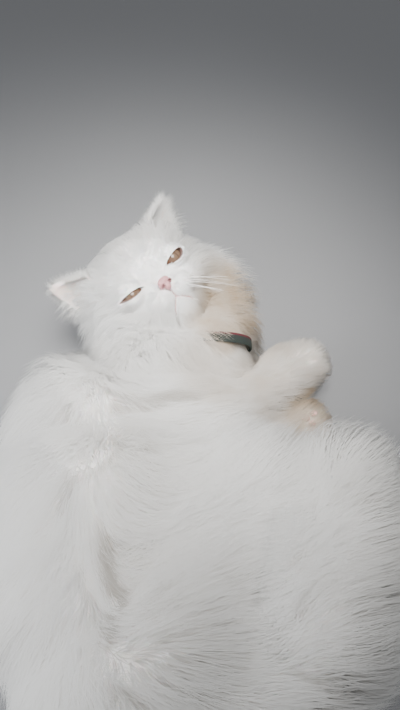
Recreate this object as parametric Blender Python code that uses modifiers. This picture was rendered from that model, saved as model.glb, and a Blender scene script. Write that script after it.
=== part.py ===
"""A white Persian cat, life size, curled on its left side with its face turned up.

Metres, +Z up. +Y points from the rump to the head, +X from the back to the belly, and the
floor is z = 0. The origin is on the flat under the ribs. Each limb, ear and eye is a solid of
its own that meets its neighbour with a gap of 0.3 mm. The long coat is built in two steps: a
core round the flesh, and flat tapered locks that are rooted in it and follow its lie.
"""

import itertools
import math
import random
from functools import partial

import bmesh
import bpy
from mathutils import Matrix, Quaternion, Vector
from mathutils.bvhtree import BVHTree

# ---------------------------------------------------------------- driving dimensions

GAP = 0.0003  # between solids that touch
CORE_SHARE = 0.45  # how far the core fills the long coat
FUSE_VOXEL = 0.004
SEED = 11
HEAD_VOXEL = 0.0018
NOSE_VOXEL = 0.0008
LIMB_VOXEL = 0.003
GUIDE_VOXEL = 0.005
TRUNK_TRIANGLES = 560
NECK_TRIANGLES = 420
LIMB_TRIANGLES = 240
TOUCH = 2e-6  # points this near to each other touch
SHELL_MOST = 2.5  # how far a sharp corner may move, as a multiple of its faces' move

COAT_TRUNK = 0.036  # depth of the coat, from the skin to the tips
COAT_RUFF = 0.036
COAT_THIGH = 0.026
COAT_TAIL = 0.042
COAT_LEG = 0.009
COAT_UPPER_ARM = 0.0144
COAT_PAW = 0.006
TAIL_SHARES = (0.8, 1.0, 1.0, 1.0, 0.9)  # of the tail's coat, at each of its joints

# The trunk is a chain of rounded masses along the bent spine: (centre, radii of the flesh,
# share of the coat's full depth).
TRUNK = [
    ((-0.026, 0.046, 0.054), (0.048, 0.046, 0.044), 1.0),  # shoulders
    ((-0.014, -0.015, 0.064), (0.055, 0.052, 0.052), 1.0),  # ribs
    ((-0.012, -0.068, 0.063), (0.053, 0.050, 0.050), 1.0),  # loin
    ((0.016, -0.116, 0.062), (0.050, 0.048, 0.048), 1.0),  # pelvis
    ((0.046, -0.146, 0.056), (0.036, 0.032, 0.038), 1.0),  # rump
    ((0.034, -0.020, 0.050), (0.040, 0.052, 0.042), 0.8),  # belly
    ((0.026, 0.046, 0.046), (0.040, 0.038, 0.036), 1.0),  # brisket
]
# The ruff's coat is deepest over the chest and thinner towards the face.
NECK = [
    ((0.016, 0.098, 0.052), (0.044, 0.032, 0.036), 1.0),
    ((0.034, 0.126, 0.046), (0.048, 0.030, 0.028), 0.75),
    ((0.022, 0.168, 0.036), (0.050, 0.040, 0.026), 0.75),  # nape
    ((0.058, 0.150, 0.038), (0.034, 0.036, 0.024), 0.75),  # throat
    ((0.056, 0.196, 0.030), (0.034, 0.040, 0.018), 1.0),  # under the left cheek
]

# Limbs are chains of joints: (place, radius of the flesh).
FORELEG_RIGHT = [
    ((0.048, 0.058, 0.060), 0.024),
    ((0.068, 0.061, 0.057), 0.019),
    ((0.128, 0.103, 0.040), 0.0155),
    ((0.158, 0.122, 0.031), 0.0175),
]
FORELEG_LEFT = [
    ((0.058, 0.016, 0.030), 0.020),
    ((0.076, 0.023, 0.026), 0.017),
    ((0.125, 0.055, 0.021), 0.0135),
    ((0.150, 0.072, 0.020), 0.0155),
]
HINDLEG_RIGHT = [
    ((0.034, -0.098, 0.078), 0.036),
    ((0.092, -0.008, 0.066), 0.031),
    ((0.120, -0.096, 0.048), 0.013),
    ((0.148, -0.034, 0.044), 0.012),
]
HINDLEG_LEFT = [
    ((0.046, -0.088, 0.040), 0.030),
    ((0.096, -0.014, 0.030), 0.024),
    ((0.158, -0.078, 0.017), 0.012),
    ((0.176, -0.012, 0.017), 0.013),
]
TAIL = [
    ((0.058, -0.158, 0.062), 0.022),
    ((0.104, -0.140, 0.078), 0.016),
    ((0.142, -0.094, 0.086), 0.011),
    ((0.163, -0.042, 0.084), 0.010),
    ((0.168, 0.004, 0.068), 0.008),
]
TOE_RADIUS = 0.0075
TOE_PITCH = 0.0086
TOE_DROP = 0.0019
TOE_COAT = 0.4  # the share of the paw's coat that the toes carry
TOES = ((-1.5, 0.55), (-0.5, 0.95), (0.5, 0.95), (1.5, 0.55))  # (place, reach), in pitches

# The head is built upright, +X to the cat's right and +Y forward, and then turned.
HEAD_TRIANGLES = 2400
CROWN_TRIANGLES = 1500  # what is left of them once the back of the head is made coarser
NOSE_TRIANGLES = 160
FACE_STARTS = 0.008  # in front of this, on +Y, the head keeps its fine mesh
SKULL = Vector((0.0095, 0.1885, 0.067))
FACE_AZIMUTH = math.radians(-52.7)
FACE_ELEVATION = math.radians(63.6)
HEAD_ROLL = math.radians(11.8)
CRANIUM = ((0.0, -0.004, 0.009), (0.048, 0.045, 0.042))
CHEEK = ((0.026, 0.008, -0.016), (0.027, 0.026, 0.026))
EAR_MOUND = ((0.034, 0.000, 0.027), (0.021, 0.017, 0.018))
BROW = ((0.017, 0.026, 0.015), (0.019, 0.013, 0.013))
BRIDGE = ((0.0, 0.036, 0.000), (0.009, 0.009, 0.012))
WHISKER_PAD = ((0.0110, 0.0365, -0.0215), (0.0150, 0.0125, 0.0125))
MUZZLE = ((0.0, 0.030, -0.030), (0.0200, 0.0150, 0.0190))
CHIN = ((0.0, 0.0315, -0.0390), (0.0150, 0.0130, 0.0125))
JAW = ((0.0, 0.014, -0.030), (0.033, 0.026, 0.024))
EYE = Vector((0.0250, 0.0285, 0.000))
EYE_RADIUS = 0.0115
EYE_TILT = math.radians(9)  # the outer corners are the higher ones
EYE_TURN = math.radians(14)  # and face a little outwards
LID_THICKNESS = 0.0024
OPENING = (0.0112, 0.012, 0.0050)  # half width, half depth, half height between the lids
CORNER_SHARE = 0.4  # the height left towards the corners, of the height in the middle
UPPER_LID_DROOP = 0.55  # how high the opening is above its corners, against below
NOSE_PAD = ((0.0, 0.0475, -0.0100), (0.0062, 0.0052, 0.0052))
NOSE_FOOT = ((0.0, 0.0477, -0.0150), (0.0042, 0.0046, 0.0042))
NOSE_WING = ((0.0038, 0.0477, -0.0133), (0.0034, 0.0042, 0.0032))
NOSTRIL = Vector((0.0040, 0.0515, -0.0140))
NOSTRIL_RADII = (0.0017, 0.0030, 0.0010)
NOSTRIL_SLANT = math.radians(35)
MOUTH = [
    (0.0, -0.0185),
    (0.0, -0.0235),
    (0.0050, -0.0270),
    (0.0100, -0.0318),
    (0.0145, -0.0370),
    (0.0165, -0.0405),
]
MOUTH_DEPTH = 0.0011

EARS = {  # the root and the tip of each; the left one is turned further out
    1: (Vector((0.043, 0.003, 0.033)), Vector((0.070, 0.001, 0.058))),
    -1: (Vector((-0.044, 0.003, 0.031)), Vector((-0.0745, 0.003, 0.0535))),
}
EAR_HALF_WIDTH = 0.025
EAR_HALF_DEPTH = 0.011
EAR_SUNK = 0.55  # how much of the leaf lies in the head, against the part that shows
EAR_POINT = 0.7  # 1 is a straight-sided ear, and less a fuller one
EAR_HOLLOW = (0.80, 0.0065, 0.94)  # size, shift forward and reach of the cup in the leaf
EAR_FLARE = math.radians(42)  # how far the cup is turned to the side

COLLAR = Vector((0.034, 0.128, 0.047))
COLLAR_RADII = (0.0600, 0.0405)
COLLAR_WIDTH = 0.010
COLLAR_SIDES = 28
GROOVE_DEPTH = 0.030  # how far the coat stands back from the band, above and below it
COLLAR_THICKNESS = 0.0022
COLLAR_TILT = math.radians(17)
COLLAR_LEAN = math.radians(14)  # the band's top leans back from the chin

# ---------------------------------------------------------------- building helpers

Z = Vector((0, 0, 1))
CAT = None
BENCH = None


def clear_scene():
    for obj in list(bpy.data.objects):
        bpy.data.objects.remove(obj)


def new_collection(name):
    collection = bpy.data.collections.new(name)
    bpy.context.scene.collection.children.link(collection)
    return collection


def sort_by_place(elements, place_of):
    ranks = {each: rank for rank, each in enumerate(sorted(elements, key=place_of))}
    elements.sort(key=ranks.get)


def make(name, shape, collection=None):
    """An object whose mesh the function shape draws, in an order that never changes."""
    mesh = bpy.data.meshes.new(name)
    bm = bmesh.new()
    shape(bm)
    sort_by_place(bm.verts, lambda vert: vert.co[:])
    sort_by_place(bm.faces, lambda face: face.calc_center_median()[:])
    bm.to_mesh(mesh)
    bm.free()
    obj = bpy.data.objects.new(name, mesh)
    (collection or BENCH).objects.link(obj)
    return obj


def settle(obj):
    """Keeps the shape that the modifiers give, and drops them."""
    bpy.context.view_layer.update()
    graph = bpy.context.evaluated_depsgraph_get()
    mesh = bpy.data.meshes.new_from_object(obj.evaluated_get(graph))
    obj.modifiers.clear()
    obj.data = mesh
    return obj


def swell(bm, grow):
    """Moves all faces out by grow, with the corners of thin edges held back a little."""
    bm.normal_update()
    moves = [
        (vert, vert.normal * grow * min(vert.calc_shell_factor(), SHELL_MOST))
        for vert in bm.verts
    ]
    for vert, move in moves:
        vert.co += move


def grown_copy(obj, grow):
    """A copy on the bench, whose faces are all moved out by grow."""
    other = bpy.data.objects.new(obj.name + "_grown", obj.data.copy())
    BENCH.objects.link(other)
    bm = bmesh.new()
    bm.from_mesh(other.data)
    swell(bm, grow)
    bm.to_mesh(other.data)
    bm.free()
    return other


def triangle_count(obj):
    return sum(len(face.vertices) - 2 for face in obj.data.polygons)


def thin_out(obj, triangles, only=None):
    """Collapses edges, anywhere or only there, until about this many triangles are left."""
    fewer = obj.modifiers.new("Thin", "DECIMATE")
    fewer.ratio = min(1.0, triangles / triangle_count(obj))
    fewer.use_collapse_triangulate = True
    if only:
        group = obj.vertex_groups.new(name="thinned")
        chosen = [vert.index for vert in obj.data.vertices if only(vert.co)]
        group.add(chosen, 1.0, "REPLACE")
        fewer.vertex_group = group.name
    settle(obj)
    obj.vertex_groups.clear()
    return obj


def fuse(obj, voxel, rounds):
    """Melts the overlapping shapes of one mesh into one smooth closed skin."""
    melt = obj.modifiers.new("Melt", "REMESH")
    melt.mode = "VOXEL"
    melt.voxel_size = voxel
    if rounds:
        relax = obj.modifiers.new("Relax", "SMOOTH")
        relax.factor = 0.5
        relax.iterations = rounds
    return settle(obj)


def boolean(obj, operation, other):
    change = obj.modifiers.new("Change", "BOOLEAN")
    change.operation = operation
    change.solver = "MANIFOLD"  # EXACT leaves open edges on these thinned skins
    change.object = other
    settle(obj)


def cut_clear(obj, *others):
    """Cuts obj back so that it leaves the gap to each of the others."""
    for other in others:
        grown = grown_copy(other, GAP)
        boolean(obj, "DIFFERENCE", grown)
        bpy.data.objects.remove(grown)
    keep_largest(obj)


def share_out(bodies):
    """Each body gives way to those before it, so that no two overlap and the gap is even."""
    grown = []
    for obj in bodies:
        whole = grown_copy(obj, GAP)
        for other in grown:
            boolean(obj, "DIFFERENCE", other)
        keep_largest(obj)
        grown.append(whole)


def keep_largest(obj):
    """Drops every closed surface of the mesh but the one that holds the most."""
    bm = bmesh.new()
    bm.from_mesh(obj.data)
    bmesh.ops.triangulate(bm, faces=bm.faces)
    unseen = set(bm.faces)
    surfaces = []
    while unseen:
        stack = [unseen.pop()]
        surface = list(stack)
        while stack:
            for edge in stack.pop().edges:
                for face in edge.link_faces if len(edge.link_faces) == 2 else ():
                    if face in unseen:
                        unseen.remove(face)
                        surface.append(face)
                        stack.append(face)
        volume = sum(
            f.verts[0].co.dot(f.verts[1].co.cross(f.verts[2].co)) for f in surface
        )
        surfaces.append((volume, len(surfaces), surface))
    surfaces.sort(key=lambda entry: entry[:2])
    for _, _, surface in surfaces[:-1]:
        bmesh.ops.delete(bm, geom=surface, context="FACES")
    bm.to_mesh(obj.data)
    bm.free()


def touches_itself(obj):
    """True where two folds of the surface meet in a point or along an edge."""
    bm = bmesh.new()
    bm.from_mesh(obj.data)
    bmesh.ops.remove_doubles(bm, verts=bm.verts, dist=TOUCH)
    bad = any(len(edge.link_faces) != 2 for edge in bm.edges)
    bm.free()
    return bad


def rest_on_floor(obj):
    """Cuts off what lies under the floor, which leaves a flat at z = 0."""
    bm = bmesh.new()
    bm.from_mesh(obj.data)
    cut = bmesh.ops.bisect_plane(
        bm,
        geom=bm.verts[:] + bm.edges[:] + bm.faces[:],
        plane_co=(0, 0, 0),
        plane_no=(0, 0, -1),
        dist=1e-6,
        clear_outer=True,
    )
    rim = [edge for edge in cut["geom_cut"] if isinstance(edge, bmesh.types.BMEdge)]
    if rim:
        bmesh.ops.edgeloop_fill(bm, edges=rim)
    bmesh.ops.triangulate(bm, faces=bm.faces)
    bm.to_mesh(obj.data)
    bm.free()


def add_ball(bm, centre, radii, turn=None):
    """An ellipsoid."""
    turn = (turn or Matrix.Identity(3)).to_4x4()
    matrix = Matrix.Translation(Vector(centre)) @ turn @ Matrix.Diagonal((*radii, 1))
    bmesh.ops.create_icosphere(bm, subdivisions=3, radius=1, matrix=matrix)


def add_limb(bm, joints, coats):
    """Rounded cones from joint to joint, each coats deep over the flesh."""
    fleshed = [
        (Vector(place), radius + coat) for (place, radius), coat in zip(joints, coats)
    ]
    for (start, first), (end, second) in zip(fleshed, fleshed[1:]):
        axis = end - start
        turn = axis.to_track_quat("Z", "Y").to_matrix().to_4x4()
        bmesh.ops.create_cone(
            bm,
            cap_ends=True,
            segments=20,
            radius1=first,
            radius2=second,
            depth=axis.length,
            matrix=Matrix.Translation((start + end) / 2) @ turn,
        )
    for place, radius in fleshed:
        add_ball(bm, place, (radius,) * 3)


def add_mirrored(bm, shape):
    """A ball on the right of the head, and its twin on the left."""
    (x, y, z), radii = shape
    add_ball(bm, (x, y, z), radii)
    if x:
        add_ball(bm, (-x, y, z), radii)


def joined_shape(objects):
    def shape(bm):
        for obj in objects:
            bm.from_mesh(obj.data)

    return shape


def tree_of(obj):
    bm = bmesh.new()
    bm.from_mesh(obj.data)
    tree = BVHTree.FromBMesh(bm)
    bm.free()
    return tree


# ---------------------------------------------------------------- trunk, neck and limbs


def masses_shape(masses, coat):
    def shape(bm):
        for centre, radii, share in masses:
            add_ball(bm, centre, [radius + coat * share for radius in radii])

    return shape


def paw_shape(joints, coats):
    """A leg with four toes that fan out at its end."""

    def shape(bm):
        add_limb(bm, joints, coats)
        wrist, paw = Vector(joints[-2][0]), Vector(joints[-1][0])
        ahead = (paw - wrist).normalized()
        side = ahead.cross(Z).normalized()
        reach = joints[-1][1]
        for place, forward in TOES:
            toe = paw + side * place * TOE_PITCH + ahead * reach * forward
            toe.z -= TOE_DROP
            add_ball(bm, toe, (TOE_RADIUS + coats[-1] * TOE_COAT,) * 3)

    return shape


def tail_shape(coat):
    def shape(bm):
        add_limb(bm, TAIL, [coat * share for share in TAIL_SHARES])

    return shape


# ---------------------------------------------------------------- head


def head_place():
    """The matrix that takes the upright head to its place."""
    forward = Vector(
        (
            math.cos(FACE_ELEVATION) * math.cos(FACE_AZIMUTH),
            math.cos(FACE_ELEVATION) * math.sin(FACE_AZIMUTH),
            math.sin(FACE_ELEVATION),
        )
    )
    up = (Z - forward * Z.dot(forward)).normalized()
    up.rotate(Quaternion(forward, HEAD_ROLL))
    right = forward.cross(up)
    turn = Matrix((right, forward, up)).transposed().to_4x4()
    return Matrix.Translation(SKULL) @ turn


def eye_turn(side):
    """The turn of one eye: its corners' tilt, and how far it looks outwards."""
    return Matrix.Rotation(-side * EYE_TURN, 3, "Z") @ Matrix.Rotation(
        -side * EYE_TILT, 3, "Y"
    )


def head_shape(bm):
    for mass in (CRANIUM, CHEEK, EAR_MOUND, BROW, BRIDGE, WHISKER_PAD, MUZZLE, CHIN, JAW):
        add_mirrored(bm, mass)
    lid = (EYE_RADIUS + LID_THICKNESS,) * 3
    add_mirrored(bm, (tuple(EYE), lid))


def nose_shape(bm):
    for mass in (NOSE_PAD, NOSE_FOOT, NOSE_WING):
        add_mirrored(bm, mass)


def opening_shape(side):
    """The almond between the lids, as a cutter."""
    half_width, half_depth, half_height = OPENING

    def shape(bm):
        bmesh.ops.create_uvsphere(bm, u_segments=14, v_segments=8, radius=1)
        centre = Vector((side * EYE.x, EYE.y + EYE_RADIUS, EYE.z))
        turn = eye_turn(side)
        for vert in bm.verts:
            fullness = math.sqrt(max(0.0, 1 - vert.co.x**2))
            pinch = CORNER_SHARE + (1 - CORNER_SHARE) * fullness
            height = half_height * pinch * (UPPER_LID_DROOP if vert.co.z > 0 else 1)
            local = Vector(
                (vert.co.x * half_width, vert.co.y * half_depth, vert.co.z * height)
            )
            vert.co = centre + turn @ local

    return shape


def eye_shape(side):
    def shape(bm):
        matrix = Matrix.Translation((side * EYE.x, EYE.y, EYE.z))
        bmesh.ops.create_uvsphere(
            bm, u_segments=14, v_segments=10, radius=EYE_RADIUS, matrix=matrix
        )

    return shape


def nostril_shape(side):
    def shape(bm):
        centre = Vector((side * NOSTRIL.x, NOSTRIL.y, NOSTRIL.z))
        turn = Matrix.Rotation(side * NOSTRIL_SLANT, 4, "Y")
        size = Matrix.Diagonal((*NOSTRIL_RADII, 1))
        matrix = Matrix.Translation(centre) @ turn @ size
        bmesh.ops.create_icosphere(bm, subdivisions=1, radius=1, matrix=matrix)

    return shape


def lip_cutter(head, side):
    """A tube along the line where the lips meet; the right one starts under the nose."""
    tree = tree_of(head)
    line = MOUTH if side > 0 else MOUTH[1:]
    curve = bpy.data.curves.new("lips", "CURVE")
    curve.dimensions = "3D"
    curve.bevel_depth = MOUTH_DEPTH
    curve.bevel_resolution = 0
    curve.use_fill_caps = True
    spline = curve.splines.new("POLY")
    spline.points.add(len(line) - 1)
    for point, (x, z) in zip(spline.points, line):
        start = Vector((side * x, 0.1, z))
        place, _, _, _ = tree.ray_cast(start, Vector((0, -1, 0)))
        point.co = (*place, 1)
    drawn = bpy.data.objects.new("lips_drawn", curve)
    BENCH.objects.link(drawn)
    bpy.context.view_layer.update()
    graph = bpy.context.evaluated_depsgraph_get()
    mesh = bpy.data.meshes.new_from_object(drawn.evaluated_get(graph))
    bm = bmesh.new()
    bm.from_mesh(mesh)
    bmesh.ops.remove_doubles(bm, verts=bm.verts, dist=1e-6)
    bmesh.ops.recalc_face_normals(bm, faces=bm.faces)
    bm.to_mesh(mesh)
    bm.free()
    cutter = bpy.data.objects.new("lips_cutter", mesh)
    cutter.matrix_world = drawn.matrix_world
    bpy.data.objects.remove(drawn)
    BENCH.objects.link(cutter)
    return cutter


def ear_frame(side):
    """Axes of one ear: across the cup, out through its mouth, and up to its tip."""
    base, tip = EARS[side]
    up = (tip - base).normalized()
    mouth = Vector((side * math.sin(EAR_FLARE), math.cos(EAR_FLARE), 0))
    mouth = (mouth - up * mouth.dot(up)).normalized()
    across = mouth.cross(up)
    turn = Matrix((across, mouth, up)).transposed()
    return base, turn, (tip - base).length


def ear_leaf(side, scale=1.0, forward=0.0, reach=1.0):
    """A pointed leaf, the outer form of the ear or, smaller and further forward, its hollow."""

    def shape(bm):
        base, turn, length = ear_frame(side)
        bmesh.ops.create_uvsphere(bm, u_segments=16, v_segments=9, radius=1)
        for vert in bm.verts:
            rise = (vert.co.z + EAR_SUNK) / (1 + EAR_SUNK)  # 0 at the root, 1 at the tip
            girth = vert.co.xy.length
            taper = scale * (1 - rise) ** EAR_POINT / girth if 1 > rise > 0 else scale
            local = Vector(
                (
                    vert.co.x * EAR_HALF_WIDTH * taper,
                    vert.co.y * EAR_HALF_DEPTH * taper + forward,
                    rise * length * reach,
                )
            )
            vert.co = base + turn @ local

    return shape


def build_head(nodes):
    """Head, nose, eyes and ears, built upright and then set in place."""
    head = make("head", head_shape, CAT)
    fuse(head, HEAD_VOXEL, 12)
    thin_out(head, HEAD_TRIANGLES)
    thin_out(head, CROWN_TRIANGLES, only=lambda place: place.y < FACE_STARTS)
    eyes = {}
    for side, word in ((1, "right"), (-1, "left")):
        eyes[word] = make(f"eye_{word}", eye_shape(side), CAT)
    nose = make("nose", nose_shape, CAT)
    fuse(nose, NOSE_VOXEL, 3)
    thin_out(nose, NOSE_TRIANGLES)
    lips = [lip_cutter(head, side) for side in (1, -1)]
    for cutter in lips:
        boolean(head, "DIFFERENCE", cutter)
    for side, word in ((1, "right"), (-1, "left")):
        opening = make("opening", opening_shape(side))
        boolean(head, "DIFFERENCE", opening)
        nostril = make("nostril", nostril_shape(side))
        boolean(nose, "DIFFERENCE", nostril)
        cut_clear(head, eyes[word])
    cut_clear(head, nose)
    ears = {}
    for side, word in ((1, "right"), (-1, "left")):
        ear = make(f"ear_{word}", ear_leaf(side), CAT)
        hollow = make("hollow", ear_leaf(side, *EAR_HOLLOW))
        boolean(ear, "DIFFERENCE", hollow)
        cut_clear(ear, head)
        ears[word] = ear
    place = head_place()
    for obj in (head, nose, *eyes.values(), *ears.values()):
        obj.data.transform(place)
    nodes["head"] = head
    nodes["nose"] = nose
    for word in ("right", "left"):
        nodes[f"eye_{word}"] = eyes[word]
        nodes[f"ear_{word}"] = ears[word]


# ---------------------------------------------------------------- collar


def collar_shape(width, thickness, inset=0.0):
    """An oval band: a rectangle turned round the neck and then flattened to the oval."""

    def shape(bm):
        a, b = (radius - inset for radius in COLLAR_RADII)
        corners = [
            bm.verts.new((radius, 0, height))
            for radius, height in (
                (a, -width / 2),
                (a + thickness, -width / 2),
                (a + thickness, width / 2),
                (a, width / 2),
            )
        ]
        sides = [bm.edges.new(pair) for pair in zip(corners, corners[1:] + corners[:1])]
        bmesh.ops.spin(
            bm,
            geom=corners + sides,
            axis=(0, 0, 1),
            angle=math.tau,
            steps=COLLAR_SIDES,
            use_merge=True,
        )
        place = (
            Matrix.Translation(COLLAR)
            @ Matrix.Rotation(COLLAR_TILT, 4, "Z")
            @ Matrix.Rotation(math.radians(90) + COLLAR_LEAN, 4, "X")
            @ Matrix.Diagonal((1, b / a, 1, 1))
        )
        bmesh.ops.transform(bm, matrix=place, verts=bm.verts)
        bmesh.ops.remove_doubles(bm, verts=bm.verts, dist=1e-6)
        bmesh.ops.recalc_face_normals(bm, faces=bm.faces)

    return shape


# ---------------------------------------------------------------- assembly of the cores


def build_cores(nodes, share):
    """Every node's solid body, with the long coat filled up to this share.

    Returns the skin of them all, which the locks follow from node to node.
    """
    thigh = COAT_THIGH * share
    legs = {
        "foreleg_right": (FORELEG_RIGHT, (COAT_UPPER_ARM, COAT_LEG, COAT_LEG, COAT_PAW)),
        "foreleg_left": (FORELEG_LEFT, (COAT_LEG, COAT_LEG, COAT_LEG, COAT_PAW)),
        "hindleg_right": (HINDLEG_RIGHT, (thigh, thigh, COAT_PAW, COAT_PAW)),
        "hindleg_left": (HINDLEG_LEFT, (thigh, thigh, COAT_PAW, COAT_PAW)),
    }
    build_head(nodes)
    nodes["neck"] = make("neck", masses_shape(NECK, COAT_RUFF * share), CAT)
    thin_out(fuse(nodes["neck"], FUSE_VOXEL, 6), NECK_TRIANGLES)
    nodes["torso"] = make("torso", masses_shape(TRUNK, COAT_TRUNK * share), CAT)
    thin_out(fuse(nodes["torso"], FUSE_VOXEL, 8), TRUNK_TRIANGLES)
    for name, (joints, coats) in legs.items():
        leg = make(name, paw_shape(joints, coats), CAT)
        nodes[name] = thin_out(fuse(leg, LIMB_VOXEL, 8), LIMB_TRIANGLES)
    nodes["tail"] = make("tail", tail_shape(COAT_TAIL * share), CAT)
    thin_out(fuse(nodes["tail"], LIMB_VOXEL, 4), LIMB_TRIANGLES)
    fleshed = [nodes[name] for name in ("head", "neck", "torso", *legs, "tail")]
    guide = tree_of(fuse(make("guide", joined_shape(fleshed)), GUIDE_VOXEL, 4))
    ears = [nodes["ear_right"], nodes["ear_left"]]
    share_out([nodes["head"], *ears, *fleshed[1:]])
    collar = make("collar", collar_shape(COLLAR_WIDTH, COLLAR_THICKNESS), CAT)
    groove = make("groove", collar_shape(COLLAR_WIDTH + 2 * GAP, GROOVE_DEPTH, GAP))
    boolean(nodes["neck"], "DIFFERENCE", groove)
    cut_clear(nodes["torso"], collar)
    for obj in nodes.values():
        keep_largest(obj)
        rest_on_floor(obj)
    nodes["collar"] = collar
    return guide


# ---------------------------------------------------------------- locks of the long coat

FAN = Vector((0.046, -0.122, 0.090))  # the coat of tail and thigh fans out from here
BACK_STARTS = -0.07  # beyond this, on -X, the coat hangs down the back
FACE = Vector((0.020, 0.185, 0.085))  # the ruff and the cheeks fan out from the face


def lie_of_trunk(place):
    """Back along the spine, over the flank towards the belly, and down the back."""
    if place.x < BACK_STARTS:
        return Vector((-0.35, -0.9, -0.35))
    return Vector((0.45, -0.9, 0.0))


def lie_of_ruff(place):
    away = place - FACE
    away.z *= 0.4
    return away.normalized() + Vector((0.1, -0.5, -0.2))


def lie_of_cheeks(place):
    return (place - FACE).normalized() + Vector((0.0, -0.2, -0.6))


def lie_of_fan(place):
    away = place - FAN
    away.z *= 0.5
    return away


def lie_of_leg(joints):
    """Down the leg, from the body to the paw, swept a little to the floor."""
    start, end = Vector(joints[0][0]), Vector(joints[-1][0])
    return lambda place: (end - start).normalized() + Vector((0, 0, -0.3))


# How each node's locks grow: the lie, the spacing of the roots, then the length, width and
# thickness of a lock and how far it rises from the core to its tip.
LOCKS = {
    "torso": (lie_of_trunk, 0.0250, 0.062, 0.027, 0.0060, 0.019),
    "hindleg_left": (lie_of_leg(HINDLEG_LEFT), 0.0300, 0.036, 0.014, 0.0045, 0.008),
    "hindleg_right": (lie_of_fan, 0.0240, 0.050, 0.022, 0.0050, 0.014),
    "tail": (lie_of_fan, 0.0225, 0.060, 0.024, 0.0055, 0.024),
    "neck": (lie_of_ruff, 0.0220, 0.052, 0.022, 0.0055, 0.018),
    "foreleg_right": (lie_of_leg(FORELEG_RIGHT), 0.0260, 0.026, 0.012, 0.0035, 0.005),
    "foreleg_left": (lie_of_leg(FORELEG_LEFT), 0.0260, 0.024, 0.011, 0.0035, 0.004),
    "head": (lie_of_cheeks, 0.0190, 0.030, 0.014, 0.0040, 0.008),
}
RIDGE_SHARE = 0.65  # of the thickness, above the line through a lock's middle
RINGS = ((0.0, 0.65), (0.38, 1.0), (0.74, 0.66))  # (share of the length, share of the width)
CHEEK_HEIGHTS = (-0.045, 0.004)  # in the head's own frame
CHEEK_DEPTHS = (-0.012, 0.024)
CHEEK_STARTS = 0.030
UNDERSIDE = -0.25  # no locks where the skin faces down more than this
LOWEST_ROOT = 0.014
ROOT_SINK = 0.0065
UNEVEN = (0.85, 1.15)
SWAY = 0.25  # how far a lock's lie varies, in radians
MOST_DRAWS = 8
ROOT_TRIALS = 5000
ROOT_MARGIN = 0.004
CLEARANCE = 0.0004
SIDE_MARGINS = 2  # sharp sides and tips are made longer by more than one margin
TIP_MARGINS = 4
TIP_SPACING = 0.006
SMALLEST = 1e-9
SHORTEST_STEP = 0.003
SHARPEST_BEND = math.radians(70)
FLOOR_CLEARANCE = 0.0004
LOWEST_SPINE = (0.004, 0.007)  # where locks lie along the floor
TURNS = [math.radians(a) for a in (0, 22, -22, 45, -45, 70, -70)]
LIFTS = (0.0, 0.005, 0.010, 0.016)
SHORTENED = (1.0, 0.72, 0.5)
# Ways to get a lock past its neighbours, as (length, lift, turn), the gentlest first.
WAYS = sorted(
    itertools.product(SHORTENED, LIFTS, TURNS),
    key=lambda way: 2 * (1 - way[0]) + 90 * way[1] + abs(way[2]),
)


def is_cheek(place):
    """Where locks grow on the head: on the cheeks and jowls, off the face and the crown."""
    local = head_place().inverted() @ place
    return (
        CHEEK_HEIGHTS[0] < local.z < CHEEK_HEIGHTS[1]
        and CHEEK_DEPTHS[0] < local.y < CHEEK_DEPTHS[1]
        and abs(local.x) > CHEEK_STARTS
    )


def root_places(obj, spacing, others, draw):
    """Points spread evenly on the open skin of a core, away from floor and neighbours."""
    mesh = obj.data
    faces = list(mesh.polygons)
    areas = [face.area for face in faces]
    places = []
    for face in draw.choices(faces, weights=areas, k=ROOT_TRIALS):
        a, b, c = (mesh.vertices[index].co for index in face.vertices)
        u, v = sorted((draw.random(), draw.random()))
        place = a * u + b * (v - u) + c * (1 - v)
        if face.normal.z < UNDERSIDE or place.z < LOWEST_ROOT:
            continue
        if obj.name == "head" and not is_cheek(place):
            continue
        if any((place - other).length < spacing for other in places):
            continue
        if any(tree.find_nearest(place, ROOT_MARGIN)[0] for tree in others):
            continue
        places.append(place)
    return places


def lock_spine(guide, root, lie, length, rise, turn, lift, lowest):
    """Points along a lock, which follows the body's skin while it rises from it."""
    spine = []
    place, normal, _, _ = guide.find_nearest(root)
    step = length / (len(RINGS) + 1) / 2
    travelled = 0.0
    for share in [ring[0] for ring in RINGS] + [1.0]:
        while travelled < share * length - SMALLEST:
            stride = min(step, share * length - travelled)
            way = lie(place)
            way = way - normal * way.dot(normal)
            way.rotate(Quaternion(normal, turn * (1 - share)))
            place, normal, _, _ = guide.find_nearest(place + way.normalized() * stride)
            travelled += stride
        height = (rise + lift) * (1 - (1 - share) ** 2)
        point = place + normal * height
        point.z = max(point.z, lowest)
        spine.append((point, normal))
    spine[0] = (root - spine[0][1] * ROOT_SINK, spine[0][1])
    return spine


def is_folded(spine):
    """True where a lock stalls or doubles back, as at a dead end of the skin's lie."""
    points = [point for point, _ in spine]
    steps = [b - a for a, b in zip(points, points[1:])]
    return min(step.length for step in steps) < SHORTEST_STEP or any(
        a.angle(b) > SHARPEST_BEND for a, b in zip(steps, steps[1:])
    )


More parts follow.
